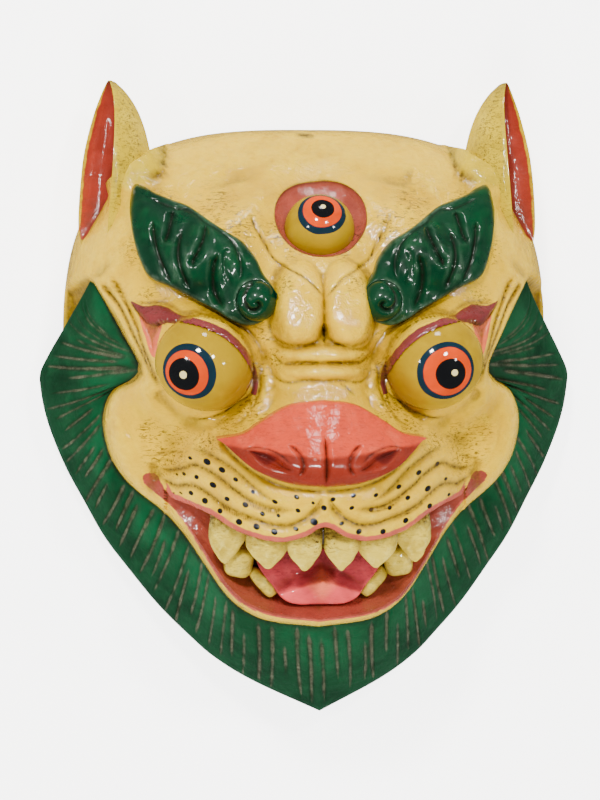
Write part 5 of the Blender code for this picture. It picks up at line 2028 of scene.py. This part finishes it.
@dataclass
class Studio:
    """A pale floor, soft light and a camera at the photograph's angle."""

    pivot: tuple[float, float, float] = (0.0, 5.0, 70.0)
    distance: float = 1200.0
    yaw: float = -4.0
    pitch: float = 4.0
    mm_per_pixel: float = 0.5866
    pivot_pixel: tuple[float, float] = (312.0, 396.0)
    image: tuple[int, int] = (600, 800)
    sensor: float = 24.0

    def camera(self) -> Object:
        """Set up the camera that looks at the face from the photograph's place.

        Returns:
            The camera.
        """
        yaw, pitch = math.radians(self.yaw), math.radians(self.pitch)
        back = Vector((math.sin(yaw) * math.cos(pitch), math.sin(pitch), math.cos(yaw) * math.cos(pitch)))
        right = Vector((0, 1, 0)).cross(back).normalized()
        up = back.cross(right)
        aside = (self.pivot_pixel[0] - self.image[0] / 2) * self.mm_per_pixel
        over = (self.pivot_pixel[1] - self.image[1] / 2) * self.mm_per_pixel
        eye = Vector(self.pivot) + back * self.distance - right * aside + up * over
        lens = bpy.data.cameras.new("camera")
        lens.sensor_fit = "VERTICAL"
        lens.sensor_height = self.sensor
        lens.lens = self.sensor * self.distance / (self.image[1] * self.mm_per_pixel)
        lens.clip_start = 0.05
        made = bpy.data.objects.new("camera", lens)
        bpy.context.scene.collection.objects.link(made)
        made.matrix_world = Matrix((right, up, back)).transposed().to_4x4()
        made.location = eye * MM
        bpy.context.scene.camera = made
        return made

    def lamp(self, name: str, place: tuple[float, float, float], power: float, size: float,
             mirrored_in_paint: bool = True) -> None:
        """Set up a square soft light that points at the mask.

        Args:
            name: The light's name.
            place: Where it hangs, in metres.
            power: Its watts.
            size: Its side in metres.
            mirrored_in_paint: Whether the gloss shows it.
        """
        light = bpy.data.lights.new(name, "AREA")
        light.energy, light.size, light.color = power, size, (1.0, 0.98, 0.95)
        made = bpy.data.objects.new(name, light)
        bpy.context.scene.collection.objects.link(made)
        made.location = place
        made.visible_glossy = mirrored_in_paint
        made.rotation_euler = (Vector(place) - Vector((0, 0, 0.1))).to_track_quat("Z", "Y").to_euler()

    def floor(self) -> None:
        """The pale floor that the mask lies on: a light table, so that its rim is lit from below too."""
        form = bmesh.new()
        bmesh.ops.create_grid(form, x_segments=1, y_segments=1, size=3000)
        made = to_object("floor", form)
        coat = bpy.data.materials.new("opal_light_table")
        coat.use_nodes = True
        shader = coat.node_tree.nodes["Principled BSDF"]
        shader.inputs["Base Color"].default_value = linear("F4F4F2")
        shader.inputs["Roughness"].default_value = 0.9
        shader.inputs["Emission Color"].default_value = linear("FFFFFF")
        shader.inputs["Emission Strength"].default_value = 4.0
        made.data.materials.append(coat)
        made.visible_glossy = False  # the enamel's gloss doesn't mirror the table

    def build(self) -> None:
        """Set up the camera, the lights, the sky and the floor."""
        self.camera()
        self.floor()
        self.lamp("key", (-0.3, 0.85, 1.2), 22, 0.14)
        self.lamp("second", (0.42, 0.6, 1.25), 10, 0.12)
        self.lamp("top", (0.05, 1.1, 0.35), 2.5, 0.16)
        self.lamp("front", (-0.2, -0.85, 1.1), 24, 0.6, mirrored_in_paint=False)
        self.lamp("left", (-0.75, 0.3, 0.95), 3, 0.08)
        self.lamp("right", (0.8, 0.25, 0.95), 3, 0.08)
        world = bpy.data.worlds.new("soft_sky")
        world.use_nodes = True
        world.node_tree.nodes["Background"].inputs["Color"].default_value = (1, 1, 1, 1)
        world.node_tree.nodes["Background"].inputs["Strength"].default_value = 0.15
        bpy.context.scene.world = world


IRISES: dict[str, tuple[tuple[float, float], Points]] = {  # each eye's gaze and rings
    "left": ((-10.2, -2.9), ((16.9, 0, 0), (13.3, -0.9, -0.4), (9.3, -2.1, -0.8), (1.9, -1.9, -0.6))),
    "right": ((4.2, -2.9), ((17.6, 0, 0), (14.4, 0.7, 0), (8.9, 1.8, -0.8), (2.1, 3.5, 0.2))),
    "third": ((0.4, 11.5), ((15.2, 0, 0), (11.8, 0.1, 0.6), (6.6, 0.3, 0.9), (1.6, 0.5, 1.5)))}


def main() -> None:
    """Build the mask around its frame, piece by piece."""
    logging.basicConfig(level=logging.INFO)
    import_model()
    Studio().build()
    head = LionHead()
    head.make(CREAM.build())
    eye_coat, ear_coat, brow_coat = EYE_YELLOW.build(), EAR_CREAM.build(), GREEN.build()
    ivory = IVORY.build()
    for word, (gaze, rings) in IRISES.items():
        EyeBall(head, word, gaze, rings).make(eye_coat)
    for side in Side:
        Ear(head, side).make(ear_coat)
        Brow(head, side).make(brow_coat)
        UpperTooth("inner", side, 10.2, -59, 151, 27, 19.5, 14, 0).make(ivory)
        UpperTooth("middle", side, 30.8, -61, 145, 24.5, 22, 14, 1.0).make(ivory)
        UpperTooth("fang", side, 50.6, -54, 131, 30.5, 20.5, 15, -3.0).make(ivory)
        LowerTooth("molar", side, (45, -84.5, 115), (8.5, 9.5, 14), 10).make(ivory)
        LowerTooth("side", side, (31.5, -97, 115), (4.2, 10, 12), -40).make(ivory)
    Nose(head).make(NOSE_PINK.build())
    Tongue().make(TONGUE_PINK.build())
    Mane(head).make(MANE_GREEN.build())


if __name__ == "__main__":
    main()
